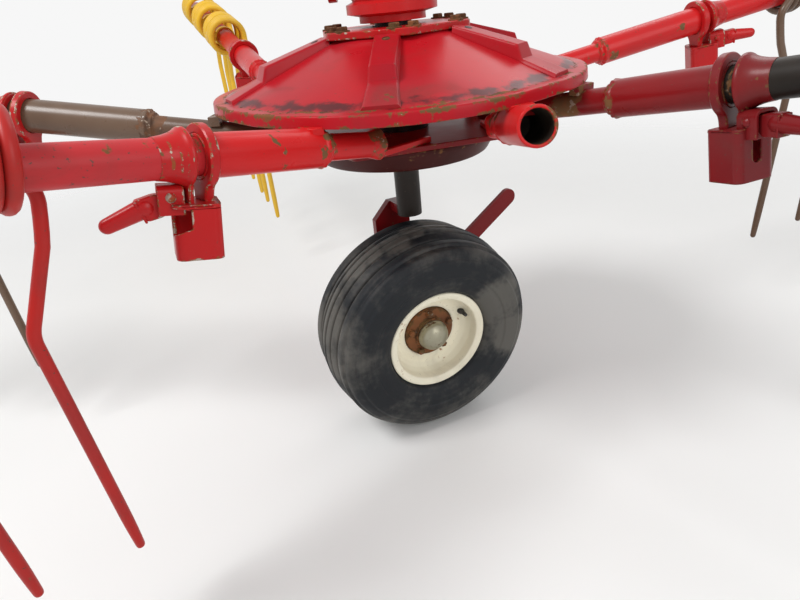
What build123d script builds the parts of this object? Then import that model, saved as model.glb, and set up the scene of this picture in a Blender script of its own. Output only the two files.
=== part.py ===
# Rotor unit of a rotary rake: drive column, dish rotor with five tine arms and two
# empty arm sockets, and the ground wheel under it.
# Millimetres. The origin is the middle of the column's top mounting face, +Z is up.
import os
from math import cos, radians, sin, sqrt
from build123d import *

# ---- heights on the rotor axis, measured down from the mounting face
arm_drop = 280.0            # to the level where the arm lines start
hub_plate_rise = 150.0      # underside of the hub plate, above the arm level
hub_plate_thick = 10.0
wheel_drop = 612.0          # to the middle of the wheel

# ---- column and spindle
column_r = 64.0
column_neck_r = 50.0
column_flange_r = 68.0
column_flange_thick = 13.0
mount_plate_side = 156.0
mount_plate_thick = 14.0
mount_hole_r = 6.5
mount_pitch_r = 78.0
mount_hole_count = 4
shaft_boss_r = 40.0
shaft_boss_reach = 92.0
shaft_bore_r = 17.5
spindle_r = 28.0
spindle_bore_r = 21.25
spindle_seat_depth = 24.0
seat_gap = 0.3
turn_gap = 6.0              # clear way between a turning piece and a fixed one
run_gap = 0.05              # radial play of a bearing

# ---- dish
dish_r = 286.0
dish_sheet = 4.0
dish_crown_r = 100.0        # where the flat crown turns into the cone
dish_shoulder_r = 268.0     # where the cone meets the rim band
rim_low = 69.0              # lower edge of the rim band above the arm level
rim_high = 85.0             # upper edge of the rim band
channel_count = 6
channel_first = 25.0        # azimuth of the first channel, degrees
channel_width = 34.0
channel_height = 20.0
channel_start_r = 124.0
channel_end_r = 262.0
channel_sheet = 4.0

# ---- hub, hub plate, carrier plate and pan
rotor_hub_r = 42.0
rotor_hub_low = -26.0
hub_plate_r = 122.0         # to its corners
hub_plate_corners = 6
hub_plate_turn = 38.0
carrier_r = 186.0           # to its corners
carrier_thick = 8.0
carrier_corners = 5
carrier_turn = 320.0        # azimuth of its first corner
pan_top_r = 150.0
pan_low_r = 136.0
pan_depth = 30.0
pan_sheet = 3.0

# ---- arms
arm_offset = 118.0          # the arm lines pass the axis at this distance
arm_rise = 9.5              # slope of the arms, outer end up, degrees
root_at = 154.0             # distances along the arm line from its foot point
root_flare_r = 22.0
root_flare_length = 22.0
neck_r = 16.85
neck_wall = 4.0
step_length = 12.0
sleeve_r = 24.15
sleeve_wall = 4.0
bearing_length = 95.0
outer_r = 21.2
outer_wall = 4.0
shoulder_gap = 5.0          # from the sleeve's mouth to the outer tube's shoulder
tube_past_tines = 14.0
tine_first = 174.0          # from the sleeve's mouth to the first coil
tine_pitch = 190.0          # from tine to tine
tine_count = 3
saddle_width = 34.0         # block between an arm and the rim band
saddle_length = 16.0
web_thick = 8.0             # upright web between an arm's root and the carrier plate
web_from = 56.0
web_to = 156.0
arm_table = [
    # station, azimuth of the arm's line in degrees, step, mouth of the sleeve, fall of the lever
    (1, 222.7, 246.0, 412.0, 26.0),
    (2, 307.0, 302.0, 468.0, 8.0),
    (3, 13.5, 424.0, 634.0, 8.0),
    (5, 113.5, 470.0, 640.0, 16.0),
    (6, 175.5, 370.0, 556.0, 16.0),
]
socket_step = 218.0
socket_mouth = 330.0
front_socket = 276.2        # azimuths of the two stations whose arms are gone
rear_socket = 68.4

# ---- tines
wire_r = 7.0
coil_mean_r = 42.0
coil_length = 44.0
coil_space = 6.0            # between the two coils of one tine
prong_lead = 36.0           # the first prong leaves its coil this far inward
prong_bends = [
    # outward from the prong's top, drop below the tube's middle
    (3.0, 81.0),
    (27.0, 174.0),
    (-44.0, 482.0),
]
clip_width = 16.0
clip_sheet = 5.0

# ---- lock of each arm: two rings, a square housing below them, ear and lever
ring_r = 34.5               # ring on the sleeve's mouth
ring_thick = 11.0
ring_gap = 12.0             # between the two rings
collar_r = 30.0             # ring and cone round the outer tube
collar_end_r = 24.0
collar_cone = 9.0
lock_turn = 20.0            # housing, ear and lever are turned by this about the upright
housing_side = 50.0
housing_corner = 9.0
housing_wall = 4.0
housing_top = 46.0          # below the arm's centre line
housing_height = 60.0
slot_width = 12.0
slot_drop = 34.0
slot_from = 18.5            # inner end of the slot in the housing's top
notch_drop = 30.0           # wide notch of the first station's housing
notch_reach = 15.0
tongue_width = 26.0
tongue_thick = 6.0
ear_from = 11.0
ear_length = 27.0
ear_width = 30.0
ear_height = 31.0
ear_top = 27.0
ear_sheet = 4.0
rivet_r = 5.5
rivet_drop = 39.5
lever_thick = 13.0
lever_length = 68.0
lever_root_r = 8.0
lever_tip_r = 9.0
nose_thick = 8.0
nose_low = 60.0

# ---- leg, crank and wheel
leg_r = 21.2
leg_top = 60.0              # above the arm level, inside the spindle
leg_foot = -139.0
crank_thick = 14.0
crown_width = 36.0
crown_depth = 16.0
plate_outline = [
    # aside from the leg, height of the side plate's corners
    (18.0, -403.0),
    (-20.0, -403.0),
    (-50.0, -434.0),
    (-50.0, -605.0),
    (14.0, -605.0),
]
axle_boss_r = 32.0
wheel_azimuth = 295.0       # the way the wheel's outer face looks
wheel_camber = 4.2          # and by this much down
wheel_ahead = 48.0          # from the leg to the wheel's middle plane
wheel_aside = -17.6
axle_r = 15.0
bar_length = 282.0          # flat bar with a round end, from the axle up and aside
bar_width = 32.0
bar_thick = 8.0
bar_aside = 10.0
bar_drop = 617.0
bar_rise = 34.8
tyre_r = 185.0
tyre_width = 160.0
rim_flange_r = 90.5
rim_seat_r = 81.0
rim_width = 126.0
rim_wall = 3.5
disc_at = 26.0              # disc plane, out from the middle plane
disc_hole_r = 47.5
hub_r = 30.0
hub_flange_r = 60.0
hub_face_r = 46.0
hub_front = 38.0
cap_r = 28.0

arm_z = -arm_drop
os.makedirs("parts", exist_ok=True)
nodes = {}


# solid of revolution about Z from corner points (radius, height)
def lathe(points):
    outline = Polyline(*[(r, 0, z) for r, z in points], close=True)
    return revolve(make_face(outline), Axis.Z, 360)


# solid of revolution about X from corner points (along, radius)
def lathe_x(points):
    outline = Polyline(*[(x, 0, r) for x, r in points], close=True)
    return revolve(make_face(outline), Axis.X, 360)


# round bar along X
def rod_x(start, end, radius):
    return Pos((start + end) / 2, 0, 0) * Rot(0, 90, 0) * Cylinder(radius, end - start)


# plane on an arm's foot point: X runs out along the arm, Z is its upper side
def arm_frame(azimuth):
    a = radians(azimuth)
    rise = radians(arm_rise)
    foot = (-arm_offset * sin(a), arm_offset * cos(a), arm_z)
    out = (cos(a) * cos(rise), sin(a) * cos(rise), sin(rise))
    top = (-cos(a) * sin(rise), -sin(a) * sin(rise), cos(rise))
    return Plane(origin=foot, x_dir=out, z_dir=top)


# ---- column: cast gearbox body with its mounting plate and two shaft bosses
hub_top = arm_z + hub_plate_rise + hub_plate_thick
column_low = hub_top + turn_gap
body = lathe([
    (0, column_low),
    (column_neck_r, column_low),
    (column_neck_r, column_low + 9),
    (column_flange_r, column_low + 13),
    (column_flange_r, column_low + 13 + column_flange_thick),
    (column_r - 6, column_low + 17 + column_flange_thick),
    (column_r, column_low + 30 + column_flange_thick),
    (column_r, -mount_plate_thick - 8),
    (column_r - 6, -mount_plate_thick),
    (0, -mount_plate_thick),
])
shaft_z = (column_low + 30 + column_flange_thick - mount_plate_thick) / 2
for side in (0, 180):
    boss = Rot(0, 0, side) * Pos(0, 0, shaft_z) * rod_x(0, shaft_boss_reach, shaft_boss_r - 8)
    face = Rot(0, 0, side) * Pos(0, 0, shaft_z) * rod_x(shaft_boss_reach - 12, shaft_boss_reach, shaft_boss_r)
    body = body + boss + face
plate = Pos(0, 0, -mount_plate_thick / 2) * Box(mount_plate_side, mount_plate_side, mount_plate_thick)
plate = fillet(plate.edges().filter_by(Axis.Z), 16)
body = body + plate
body = body - Pos(0, 0, shaft_z) * rod_x(-shaft_boss_reach - 1, shaft_boss_reach + 1, shaft_bore_r)
for k in range(mount_hole_count):
    turn = radians(45 + 360 / mount_hole_count * k)
    spot = Pos(mount_pitch_r * cos(turn), mount_pitch_r * sin(turn), -mount_plate_thick / 2)
    body = body - spot * Cylinder(mount_hole_r, mount_plate_thick + 2)
spindle_top = column_low + spindle_seat_depth - seat_gap
spindle_seat = Cylinder(spindle_r + seat_gap, spindle_seat_depth)
body = body - Pos(0, 0, column_low + spindle_seat_depth / 2) * spindle_seat
nodes["drive_column"] = body

# ---- spindle: the fixed tube that the rotor turns on, with the leg in its lower end
spindle_low = arm_z + rotor_hub_low - turn_gap - 12
nodes["spindle"] = lathe([
    (spindle_bore_r + seat_gap, spindle_low),
    (spindle_r + 9, spindle_low),
    (spindle_r + 9, spindle_low + 10),
    (spindle_r, spindle_low + 10),
    (spindle_r, spindle_top),
    (spindle_bore_r + seat_gap, spindle_top),
])

# ---- rotor hub, hub plate, carrier plate, pan
hub_low = arm_z + rotor_hub_low
hub_high = arm_z + hub_plate_rise
nodes["rotor_hub"] = lathe([
    (spindle_r + run_gap, hub_low),
    (rotor_hub_r, hub_low),
    (rotor_hub_r, hub_high),
    (spindle_r + run_gap, hub_high),
])
hub_plate = Pos(0, 0, hub_high) * extrude(
    Rot(0, 0, hub_plate_turn) * RegularPolygon(hub_plate_r, hub_plate_corners), hub_plate_thick)
hub_plate = fillet(hub_plate.edges().filter_by(Axis.Z), 12)
hub_plate = hub_plate - Pos(0, 0, hub_high) * Cylinder(spindle_r + turn_gap, 3 * hub_plate_thick)
nodes["hub_plate"] = hub_plate

carrier = Pos(0, 0, arm_z) * extrude(
    Rot(0, 0, carrier_turn) * RegularPolygon(carrier_r, carrier_corners), carrier_thick)
carrier = carrier - Pos(0, 0, arm_z) * Cylinder(rotor_hub_r, 4 * carrier_thick)
nodes["carrier_plate"] = carrier

pan_low = arm_z - pan_depth
nodes["bottom_pan"] = lathe([
    (rotor_hub_r, pan_low),
    (pan_low_r, pan_low),
    (pan_top_r, arm_z - 6),
    (pan_top_r, arm_z),
    (pan_top_r - pan_sheet, arm_z),
    (pan_top_r - pan_sheet, arm_z - 6),
    (pan_low_r - pan_sheet, pan_low + pan_sheet),
    (rotor_hub_r, pan_low + pan_sheet),
])

# ---- dish: one pressed sheet from the crown to the rim band
crown = hub_high
rim_top = arm_z + rim_high
nodes["dish"] = lathe([
    (rotor_hub_r, crown),
    (rotor_hub_r, crown - dish_sheet),
    (dish_crown_r - 1, crown - dish_sheet),
    (dish_shoulder_r - 1, rim_top - dish_sheet),
    (dish_r - dish_sheet, rim_top - dish_sheet),
    (dish_r - dish_sheet, arm_z + rim_low),
    (dish_r, arm_z + rim_low),
    (dish_r, rim_top),
    (dish_shoulder_r, rim_top),
    (dish_crown_r, crown),
])


# height of the dish's upper face at a radius on its cone
def cone_height(radius):
    share = (radius - dish_crown_r) / (dish_shoulder_r - dish_crown_r)
    return crown + share * (rim_top - crown)


# ---- channels: bent sheets that stand on the cone like an upturned trough
def channel(turn):
    low_in = cone_height(channel_start_r)
    low_out = cone_height(channel_end_r)
    outline = Polyline(
        (channel_start_r, 0, low_in),
        (channel_end_r, 0, low_out),
        (channel_end_r - 6, 0, low_out + channel_height),
        (channel_start_r, 0, low_in + channel_height * 0.6),
        close=True)
    face = make_face(outline)
    block = Pos(0, channel_width / 2, 0) * extrude(face, channel_width, dir=(0, -1, 0))
    inner = Pos(-1, channel_width / 2 - channel_sheet, -channel_sheet) * extrude(
        face, channel_width - 2 * channel_sheet, dir=(0, -1, 0))
    under = Polyline(
        (channel_start_r - 20, 0, low_in + 20 * (crown - rim_top) / (dish_shoulder_r - dish_crown_r)),
        (channel_end_r + 20, 0, low_out - 20 * (crown - rim_top) / (dish_shoulder_r - dish_crown_r)),
        (channel_end_r + 20, 0, low_out - 60),
        (channel_start_r - 20, 0, low_in - 60),
        close=True)
    below = Pos(0, channel_width, 0) * extrude(make_face(under), 2 * channel_width, dir=(0, -1, 0))
    return Rot(0, 0, turn) * (block - inner - below)


nodes["dish_channels"] = Compound(
    [channel(channel_first + 360 / channel_count * k) for k in range(channel_count)])


# ---- arm sleeve: root flare, neck, step and bearing sleeve in one turned piece,
# with the web that stands on the carrier plate and the saddle under the rim band
def sleeve_profile(step, end):
    return [
        (root_at, neck_r - neck_wall),
        (root_at, root_flare_r),
        (root_at + 8, root_flare_r),
        (root_at + root_flare_length, neck_r),
        (step, neck_r),
        (step + step_length, sleeve_r),
        (end, sleeve_r),
        (end, sleeve_r - sleeve_wall),
        (end - bearing_length, sleeve_r - sleeve_wall),
        (end - bearing_length - 6, neck_r - neck_wall),
    ]


def arm_sleeve(azimuth, step, end):
    tube = arm_frame(azimuth) * lathe_x(sleeve_profile(step, end))
    inside = arm_frame(azimuth) * lathe_x([
        (root_at, 0), (root_at, neck_r - 1), (step, neck_r - 1), (step + step_length, sleeve_r - 1),
        (end, sleeve_r - 1), (end, 0)])
    level = Pos(0, 0, arm_z) * Rot(0, 0, azimuth)
    rise = radians(arm_rise)
    saddle_at = sqrt((dish_r - dish_sheet / 2) ** 2 - arm_offset ** 2)
    saddle_low = saddle_at * sin(rise) / cos(rise)
    saddle_high = rim_low
    saddle = level * Pos(saddle_at, arm_offset, (saddle_low + saddle_high) / 2) * Box(
        saddle_length, saddle_width, saddle_high - saddle_low)
    web_low = carrier_thick
    web_high = root_at * sin(rise) + 4
    web = level * Pos((web_from + web_to) / 2, arm_offset, (web_low + web_high) / 2) * Box(
        web_to - web_from, web_thick, web_high - web_low)
    return tube + (saddle - inside) + (web - inside)


# bearing stub in the sleeve, a small shoulder and the tube that carries the tines
def outer_tube(end):
    stub_r = sleeve_r - sleeve_wall - run_gap
    face = end + shoulder_gap
    last_tine = end + tine_first + tine_pitch * (tine_count - 1)
    far = last_tine + 2 * coil_length + coil_space + tube_past_tines
    return lathe_x([
        (end - bearing_length + 6, outer_r - outer_wall - 3),
        (end - bearing_length + 6, stub_r),
        (face, stub_r),
        (face, outer_r),
        (far, outer_r),
        (far, outer_r - outer_wall - 3),
    ])


# one bent wire prong that hangs from the back of a coil
def prong(start):
    points = [(start, -coil_mean_r, 0)]
    points += [(start + out, -coil_mean_r, -drop) for out, drop in prong_bends]
    path = Polyline(*points)
    section = Plane(origin=points[0], z_dir=path % 0) * Circle(wire_r)
    return sweep(section, path=path, transition=Transition.RIGHT)


# double tine: two coils round the outer tube, a bridge and a clip between them, two prongs
def tine(start):
    last = start + 2 * coil_length + coil_space
    middle = (start + last) / 2
    whole = []
    for begin in (start, last - coil_length):
        whole.append(lathe_x([
            (begin, coil_mean_r - wire_r), (begin, coil_mean_r + wire_r),
            (begin + coil_length, coil_mean_r + wire_r), (begin + coil_length, coil_mean_r - wire_r)]))
    clip = rod_x(middle - clip_width / 2, middle + clip_width / 2, outer_r + clip_sheet)
    clip = clip + Pos(middle, coil_mean_r / 2 + 6, 0) * Box(clip_width, coil_mean_r - 4, 2 * wire_r + 2)
    whole.append(clip - rod_x(start, last, outer_r))
    first_prong = start + wire_r - prong_lead
    whole.append(prong(first_prong))
    whole.append(Pos(0, -coil_mean_r, 0) * rod_x(first_prong - wire_r, start + wire_r, wire_r))
    whole.append(prong(last - wire_r))
    joined = whole[0]
    for piece in whole[1:]:
        joined = joined + piece
    return joined


# ring on the sleeve's mouth, ring and cone round the outer tube, tongues below both, and turned about
# the upright: the square housing with its slot and the folded ear with its rivet
def lock_housing(end, notched):
    middle = end + ring_gap / 2
    collar_at = end + ring_gap
    rings = rod_x(end - ring_thick, end, ring_r)
    rings = rings + lathe_x([
        (collar_at, 0), (collar_at, collar_r), (collar_at + ring_thick, collar_r),
        (collar_at + ring_thick + collar_cone, collar_end_r), (collar_at + ring_thick + collar_cone, 0)])
    tongue = Pos(tongue_thick / 2, 0, -housing_top / 2) * Box(tongue_thick, tongue_width, housing_top)
    for at in (end - ring_thick, collar_at):
        rings = rings + Pos(at, 0, 0) * tongue
    rings = rings - rod_x(end - ring_thick - 1, end + 1, sleeve_r)
    rings = rings - rod_x(collar_at - 1, collar_at + ring_thick + collar_cone + 1, outer_r + run_gap)
    block_mid = -housing_top - housing_height / 2
    block = Pos(0, 0, block_mid) * Box(housing_side, housing_side, housing_height)
    block = fillet(block.edges().filter_by(Axis.Z), housing_corner)
    inside = housing_side - 2 * housing_wall
    hollow = Pos(0, 0, block_mid - housing_wall) * Box(inside, inside, housing_height)
    slot_end = -housing_top - slot_drop
    slot = Pos((slot_from + housing_side) / 2, 0, (slot_end - housing_top) / 2 + 0.5) * Box(
        housing_side - slot_from, slot_width, slot_drop + 1)
    slot = slot + Pos(0, 0, slot_end) * rod_x(slot_from, slot_from + housing_side, slot_width / 2)
    shell = block - hollow - slot
    if notched:
        corner = housing_side / 2
        notch_mid = -housing_top - housing_wall - notch_drop / 2
        shell = shell - Pos(corner, corner, notch_mid) * Box(
            2 * notch_reach, housing_side - slot_width, notch_drop)
    ear_mid = ear_from + ear_length / 2
    ear = Pos(ear_mid, 0, -ear_top - ear_height / 2) * Box(ear_length, ear_width, ear_height)
    ear = ear - Pos(ear_mid, 0, -ear_top - ear_height / 2 - ear_sheet) * Box(
        ear_length + 2, ear_width - 2 * ear_sheet, ear_height)
    rivet = Pos(ear_mid, 0, -rivet_drop) * Rot(90, 0, 0) * Cylinder(rivet_r * 0.7, ear_width + 2)
    head = Pos(ear_mid, ear_width / 2 + 1.5, -rivet_drop) * Rot(90, 0, 0) * Cylinder(rivet_r, 3)
    rivet = rivet + head + Pos(0, -ear_width - 3, 0) * head
    turned = Rot(0, 0, -lock_turn) * (shell + (ear - block) + rivet)
    return rings + Pos(middle, 0, 0) * turned


# folded lever on the ear's rivet, its tip round and a thin nose down through the housing's slot
def latch_lever(end, fall):
    pivot = ear_from + ear_length / 2
    tip = (pivot + lever_length, -rivet_drop - fall)
    outline = Polyline(
        (pivot, 0, -rivet_drop + lever_root_r), (tip[0], 0, tip[1] + lever_tip_r),
        (tip[0], 0, tip[1] - lever_tip_r), (pivot, 0, -rivet_drop - lever_root_r), close=True)
    blade = Pos(0, lever_thick / 2, 0) * extrude(make_face(outline), lever_thick, dir=(0, -1, 0))
    blade = blade + Pos(tip[0], 0, tip[1]) * Rot(90, 0, 0) * Cylinder(lever_tip_r, lever_thick)
    blade = blade + Pos(pivot, 0, -rivet_drop) * Rot(90, 0, 0) * Cylinder(lever_root_r, lever_thick)
    blade = blade - Pos(0, 0, -housing_top - housing_height / 2 + 0.4) * Box(
        housing_side + 0.8, housing_side, housing_height)
    nose_from = slot_from + 0.8
    nose_to = housing_side / 2 + 3
    nose = Pos((nose_from + nose_to) / 2, 0, -(rivet_drop + nose_low) / 2) * Box(
        nose_to - nose_from, nose_thick, nose_low - rivet_drop)
    hole = Pos(pivot, 0, -rivet_drop) * Rot(90, 0, 0) * Cylinder(rivet_r * 0.7 + seat_gap, ear_width)
    return Pos(end + ring_gap / 2, 0, 0) * Rot(0, 0, -lock_turn) * (blade + nose - hole)


housings = []
levers = []
for station, azimuth, step, end, fall in arm_table:
    where = arm_frame(azimuth)
    nodes[f"arm_sleeve_{station}"] = arm_sleeve(azimuth, step, end)
    nodes[f"outer_tube_{station}"] = where * outer_tube(end)
    tines = [tine(end + tine_first + tine_pitch * k) for k in range(tine_count)]
    nodes[f"tines_{station}"] = where * Compound(tines)
    housings.append(where * lock_housing(end, station == 1))
    levers.append(where * latch_lever(end, fall))
nodes["lock_housings"] = Compound(housings)
nodes["latch_levers"] = Compound(levers)

# ---- empty sockets: arm stations whose arms are gone
nodes["arm_socket"] = arm_sleeve(front_socket, socket_step, socket_mouth)
nodes["rear_socket"] = arm_sleeve(rear_socket, socket_step, socket_mouth)

# ---- leg and crank: crown bar against the leg's back, side plate behind the tyre, axle
nodes["leg"] = Pos(0, 0, arm_z + (leg_top + leg_foot) / 2) * Cylinder(leg_r, leg_top - leg_foot)
plate_face = wheel_ahead - tyre_width / 2 - 8
plate_back = plate_face - crank_thick
wheel_turn = Rot(0, 0, wheel_azimuth)
crown_top = plate_outline[0][1]
crown = Pos(plate_back / 2, 0, crown_top - crown_depth / 2) * Box(-plate_back, crown_width, crown_depth)
crown = crown - Pos(0, 0, crown_top) * Cylinder(leg_r + seat_gap, 4 * crown_depth)
side_plate = extrude(make_face(Polyline(*[(plate_back, y, z) for y, z in plate_outline], close=True)),
                     crank_thick, dir=(1, 0, 0))
boss_z = -wheel_drop + (wheel_ahead - plate_face) * sin(radians(wheel_camber))
side_plate = side_plate + Pos(0, wheel_aside, boss_z) * rod_x(plate_back, plate_face, axle_boss_r)
wheel_place = wheel_turn * Pos(wheel_ahead, wheel_aside, -wheel_drop) * Rot(0, wheel_camber, 0)
axle_from = plate_face - wheel_ahead - crank_thick / 2
axle = wheel_place * rod_x(axle_from, rim_width / 2 - 30, axle_r)
nodes["wheel_crank"] = wheel_turn * (crown + side_plate) + axle

# ---- flat bar with a round end on the crank plate's back
bar = Pos(bar_length / 2, 0, 0) * Box(bar_length, bar_thick, bar_width)
bar = bar + Pos(bar_length, 0, 0) * Rot(90, 0, 0) * Cylinder(bar_width / 2, bar_thick)
bar_spot = Pos(plate_back - bar_thick / 2, bar_aside, -bar_drop)
nodes["guard_bar"] = wheel_turn * bar_spot * Rot(0, 0, 90) * Rot(0, -bar_rise, 0) * bar

# ---- wheel, built along X about its middle plane and then turned
half = tyre_width / 2
rim_half = rim_width / 2
tyre = lathe_x([
    (-rim_half + 4, rim_seat_r), (-rim_half + 4, rim_flange_r + 1), (-half + 4, rim_flange_r + 22),
    (-half, tyre_r - 48), (-half + 5, tyre_r - 22), (-half + 20, tyre_r - 6), (-half + 40, tyre_r),
    (half - 40, tyre_r), (half - 20, tyre_r - 6), (half - 5, tyre_r - 22), (half, tyre_r - 48),
    (half - 4, rim_flange_r + 22), (rim_half - 4, rim_flange_r + 1), (rim_half - 4, rim_seat_r)])
rim = lathe_x([
    (-rim_half, rim_flange_r), (-rim_half + 4 - seat_gap, rim_flange_r),
    (-rim_half + 4 - seat_gap, rim_seat_r - seat_gap),
    (rim_half - 4 + seat_gap, rim_seat_r - seat_gap), (rim_half - 4 + seat_gap, rim_flange_r),
    (rim_half, rim_flange_r),
    (rim_half, rim_seat_r - rim_wall), (disc_at + 6, rim_seat_r - rim_wall),
    (disc_at + 6, rim_seat_r - 8), (disc_at, rim_seat_r - 15), (disc_at, disc_hole_r),
    (disc_at - rim_wall, disc_hole_r), (disc_at - rim_wall, rim_seat_r - 15),
    (disc_at + 6 - rim_wall, rim_seat_r - 8),
    (disc_at + 6 - rim_wall, rim_seat_r - rim_wall), (-rim_half, rim_seat_r - rim_wall)])
hub = lathe_x([
    (-rim_half + 6, axle_r + run_gap), (-rim_half + 6, hub_r - 6), (disc_at - rim_wall - 9, hub_r - 6),
    (disc_at - rim_wall - 9, hub_flange_r), (disc_at - rim_wall - seat_gap, hub_flange_r),
    (disc_at - rim_wall - seat_gap, hub_face_r), (disc_at + 4, hub_face_r), (disc_at + 6, hub_r),
    (hub_front, hub_r), (hub_front, axle_r + run_gap)])
cap = lathe_x([
    (hub_front, axle_r + 4), (hub_front, cap_r), (hub_front + 5, cap_r), (hub_front + 14, cap_r - 3),
    (hub_front + 22, cap_r - 11), (hub_front + 26, 0.0), (hub_front + 23, 0.0), (hub_front + 20, cap_r - 13),
    (hub_front + 12, cap_r - 6), (hub_front + 4, axle_r + 6)])
nodes["tyre"] = wheel_place * tyre
nodes["wheel_rim"] = wheel_place * rim
nodes["wheel_hub"] = wheel_place * hub
nodes["hub_cap"] = wheel_place * cap

for name, shape in nodes.items():
    shape.label = name
    export_step(shape, f"parts/{name}.step")
    box = shape.bounding_box()
    print(f"{name:16s} solids {len(shape.solids())} volume {shape.volume / 1000:.0f} cm3 "
          f"z {box.min.Z:.0f}..{box.max.Z:.0f}")
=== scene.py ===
# Rotor unit of a rotary rake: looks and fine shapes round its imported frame.
# Metres throughout. Origin: middle of the column's top face, +Z up, -Y towards the camera.
import math
import bmesh
import bpy
import numpy as np
from mathutils import Matrix


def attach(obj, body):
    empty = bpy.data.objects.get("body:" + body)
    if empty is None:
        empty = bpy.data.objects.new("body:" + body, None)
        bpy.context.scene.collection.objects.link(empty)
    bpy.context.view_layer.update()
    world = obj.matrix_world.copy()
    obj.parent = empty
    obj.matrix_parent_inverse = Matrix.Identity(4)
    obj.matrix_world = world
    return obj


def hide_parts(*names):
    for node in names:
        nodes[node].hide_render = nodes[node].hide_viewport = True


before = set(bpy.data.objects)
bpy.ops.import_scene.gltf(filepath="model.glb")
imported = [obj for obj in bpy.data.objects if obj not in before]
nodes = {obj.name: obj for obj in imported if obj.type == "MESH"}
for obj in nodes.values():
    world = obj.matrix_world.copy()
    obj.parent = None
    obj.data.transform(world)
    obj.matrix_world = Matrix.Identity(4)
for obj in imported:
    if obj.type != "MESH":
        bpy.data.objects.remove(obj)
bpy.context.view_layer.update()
print("frame loaded:", len(nodes), "nodes")

# Shared places, the same as the frame's
rotor = {"armLevel": -0.280, "hubPlateLow": -0.130, "hubPlateHigh": -0.120, "wheelLevel": -0.612,
         "shaftLevel": -0.0425}
arms = {"offset": 0.118, "rise": 9.5, "rootAt": 0.154, "socketStep": 0.218, "socketEnd": 0.330}
stations = [  # number, azimuth, step, mouth of the sleeve, fall of the lever
    (1, 222.7, 0.246, 0.412, 0.031),
    (2, 307.0, 0.313, 0.468, 0.008),
    (3, 13.5, 0.419, 0.634, 0.008),
    (5, 113.5, 0.470, 0.640, 0.016),
    (6, 175.5, 0.359, 0.556, 0.016)]
sockets = [("arm_socket", 276.2), ("rear_socket", 68.4)]

# Axes are a foot point, then unit vectors along, to the side and to the top.
up = np.array([0.0, 0.0, 1.0])
upright = (np.zeros(3), up, np.array([1.0, 0.0, 0.0]), np.array([0.0, 1.0, 0.0]))


# Level unit vectors: out at a turn in radians, and square to it.
def levelVectors(turn):
    return np.array([math.cos(turn), math.sin(turn), 0.0]), np.array([-math.sin(turn), math.cos(turn), 0.0])


# Level axes at the arms' height: out at an azimuth in degrees, to the side and up.
def levelAxes(azimuth):
    return rotor["armLevel"] * up, *levelVectors(math.radians(azimuth)), up


# An arm's axes: along = cos(rise) * out + sin(rise) * up, from a foot that stands off the rotor's axis to the
# side by the arms' offset.
def armAxes(azimuth):
    out, side = levelVectors(math.radians(azimuth))
    rise = math.radians(arms["rise"])
    along = math.cos(rise) * out + math.sin(rise) * up
    return arms["offset"] * side + rotor["armLevel"] * up, along, side, np.cross(along, side)


# Local points p go to foot + p.x * along + p.y * side + p.z * top.
def placed(points, axes):
    foot, along, side, top = axes
    return foot + points[..., 0:1] * along + points[..., 1:2] * side + points[..., 2:3] * top


# A grid is its points, its wear, and whether its rows and its columns close round.
def carried(grid, axes):
    points, wear, loopRows, loopColumns = grid
    return placed(points, axes), wear, loopRows, loopColumns


# Length of each row, the root of the sum of its squares, as a column.
def lengthOf(rows):
    return np.linalg.norm(rows, axis=1, keepdims=True)


# Length travelled along a line at each of its points.
def travelAlong(line):
    return np.concatenate([[0], np.cumsum(np.linalg.norm(np.diff(line, axis=0), axis=1))])


# Points of a line at given lengths along it, straight between its own points.
def pointsAt(line, travelled, at):
    return np.stack([np.interp(at, travelled, line[:, k]) for k in (0, 1)], axis=1)


# Bent line: (1 - t)^2 * first + 2 t (1 - t) * middle + t^2 * last.
def bentLine(first, middle, last, t):
    return (1 - t) ** 2 * first + 2 * t * (1 - t) * middle + t ** 2 * last


# A closed outline sampled evenly along its length.
def sampledEvenly(line, count):
    closed = np.vstack([line, line[:1]])
    travelled = travelAlong(closed)
    return pointsAt(closed, travelled, np.linspace(0, travelled[-1], count, endpoint=False))


meshing = {"bendShare": 0.42, "tooShort": 1e-7, "merge": 1e-6, "sharp": 35.0}


# A profile (along, radius): each corner becomes an arc of the size bend, long runs get divided by step,
# and the wear value is exp(-(distance to the nearest corner / reach)^2).
def fineProfile(corners, bend=0.0015, step=0.004, reach=0.004, loop=True, arcSteps=4):
    corners = np.array(corners, float)
    toBefore = np.roll(corners, 1, axis=0) - corners
    toAfter = np.roll(corners, -1, axis=0) - corners
    cut = np.minimum(np.minimum(lengthOf(toBefore), lengthOf(toAfter)) * meshing["bendShare"], bend)
    first = corners + toBefore / lengthOf(toBefore) * cut
    last = corners + toAfter / lengthOf(toAfter) * cut
    if not loop:
        first[0] = last[0] = corners[0]
        first[-1] = last[-1] = corners[-1]
    t = np.linspace(0, 1, arcSteps)[None, :, None]
    line = bentLine(first[:, None], corners[:, None], last[:, None], t).reshape(-1, 2)
    if loop:
        line = np.vstack([line, line[:1]])
    travelled = travelAlong(line)
    keep = np.concatenate([[True], np.diff(travelled) > meshing["tooShort"]])
    line, travelled = line[keep], travelled[keep]
    runs = [np.linspace(a, b, max(2, int((b - a) / step) + 1))[:-1]
            for a, b in zip(travelled[:-1], travelled[1:])]
    points = pointsAt(line, travelled, np.concatenate(runs + [travelled[-1:]]))
    if loop:
        points = points[:-1]
    away = np.linalg.norm(points[:, None] - corners[None], axis=2).min(axis=1)
    return points, np.exp(-(away / reach) ** 2)


# A piece gets one finish from the table.
def dress(piece, key):
    piece.data.materials.clear()
    piece.data.materials.append(finishes[key])


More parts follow.
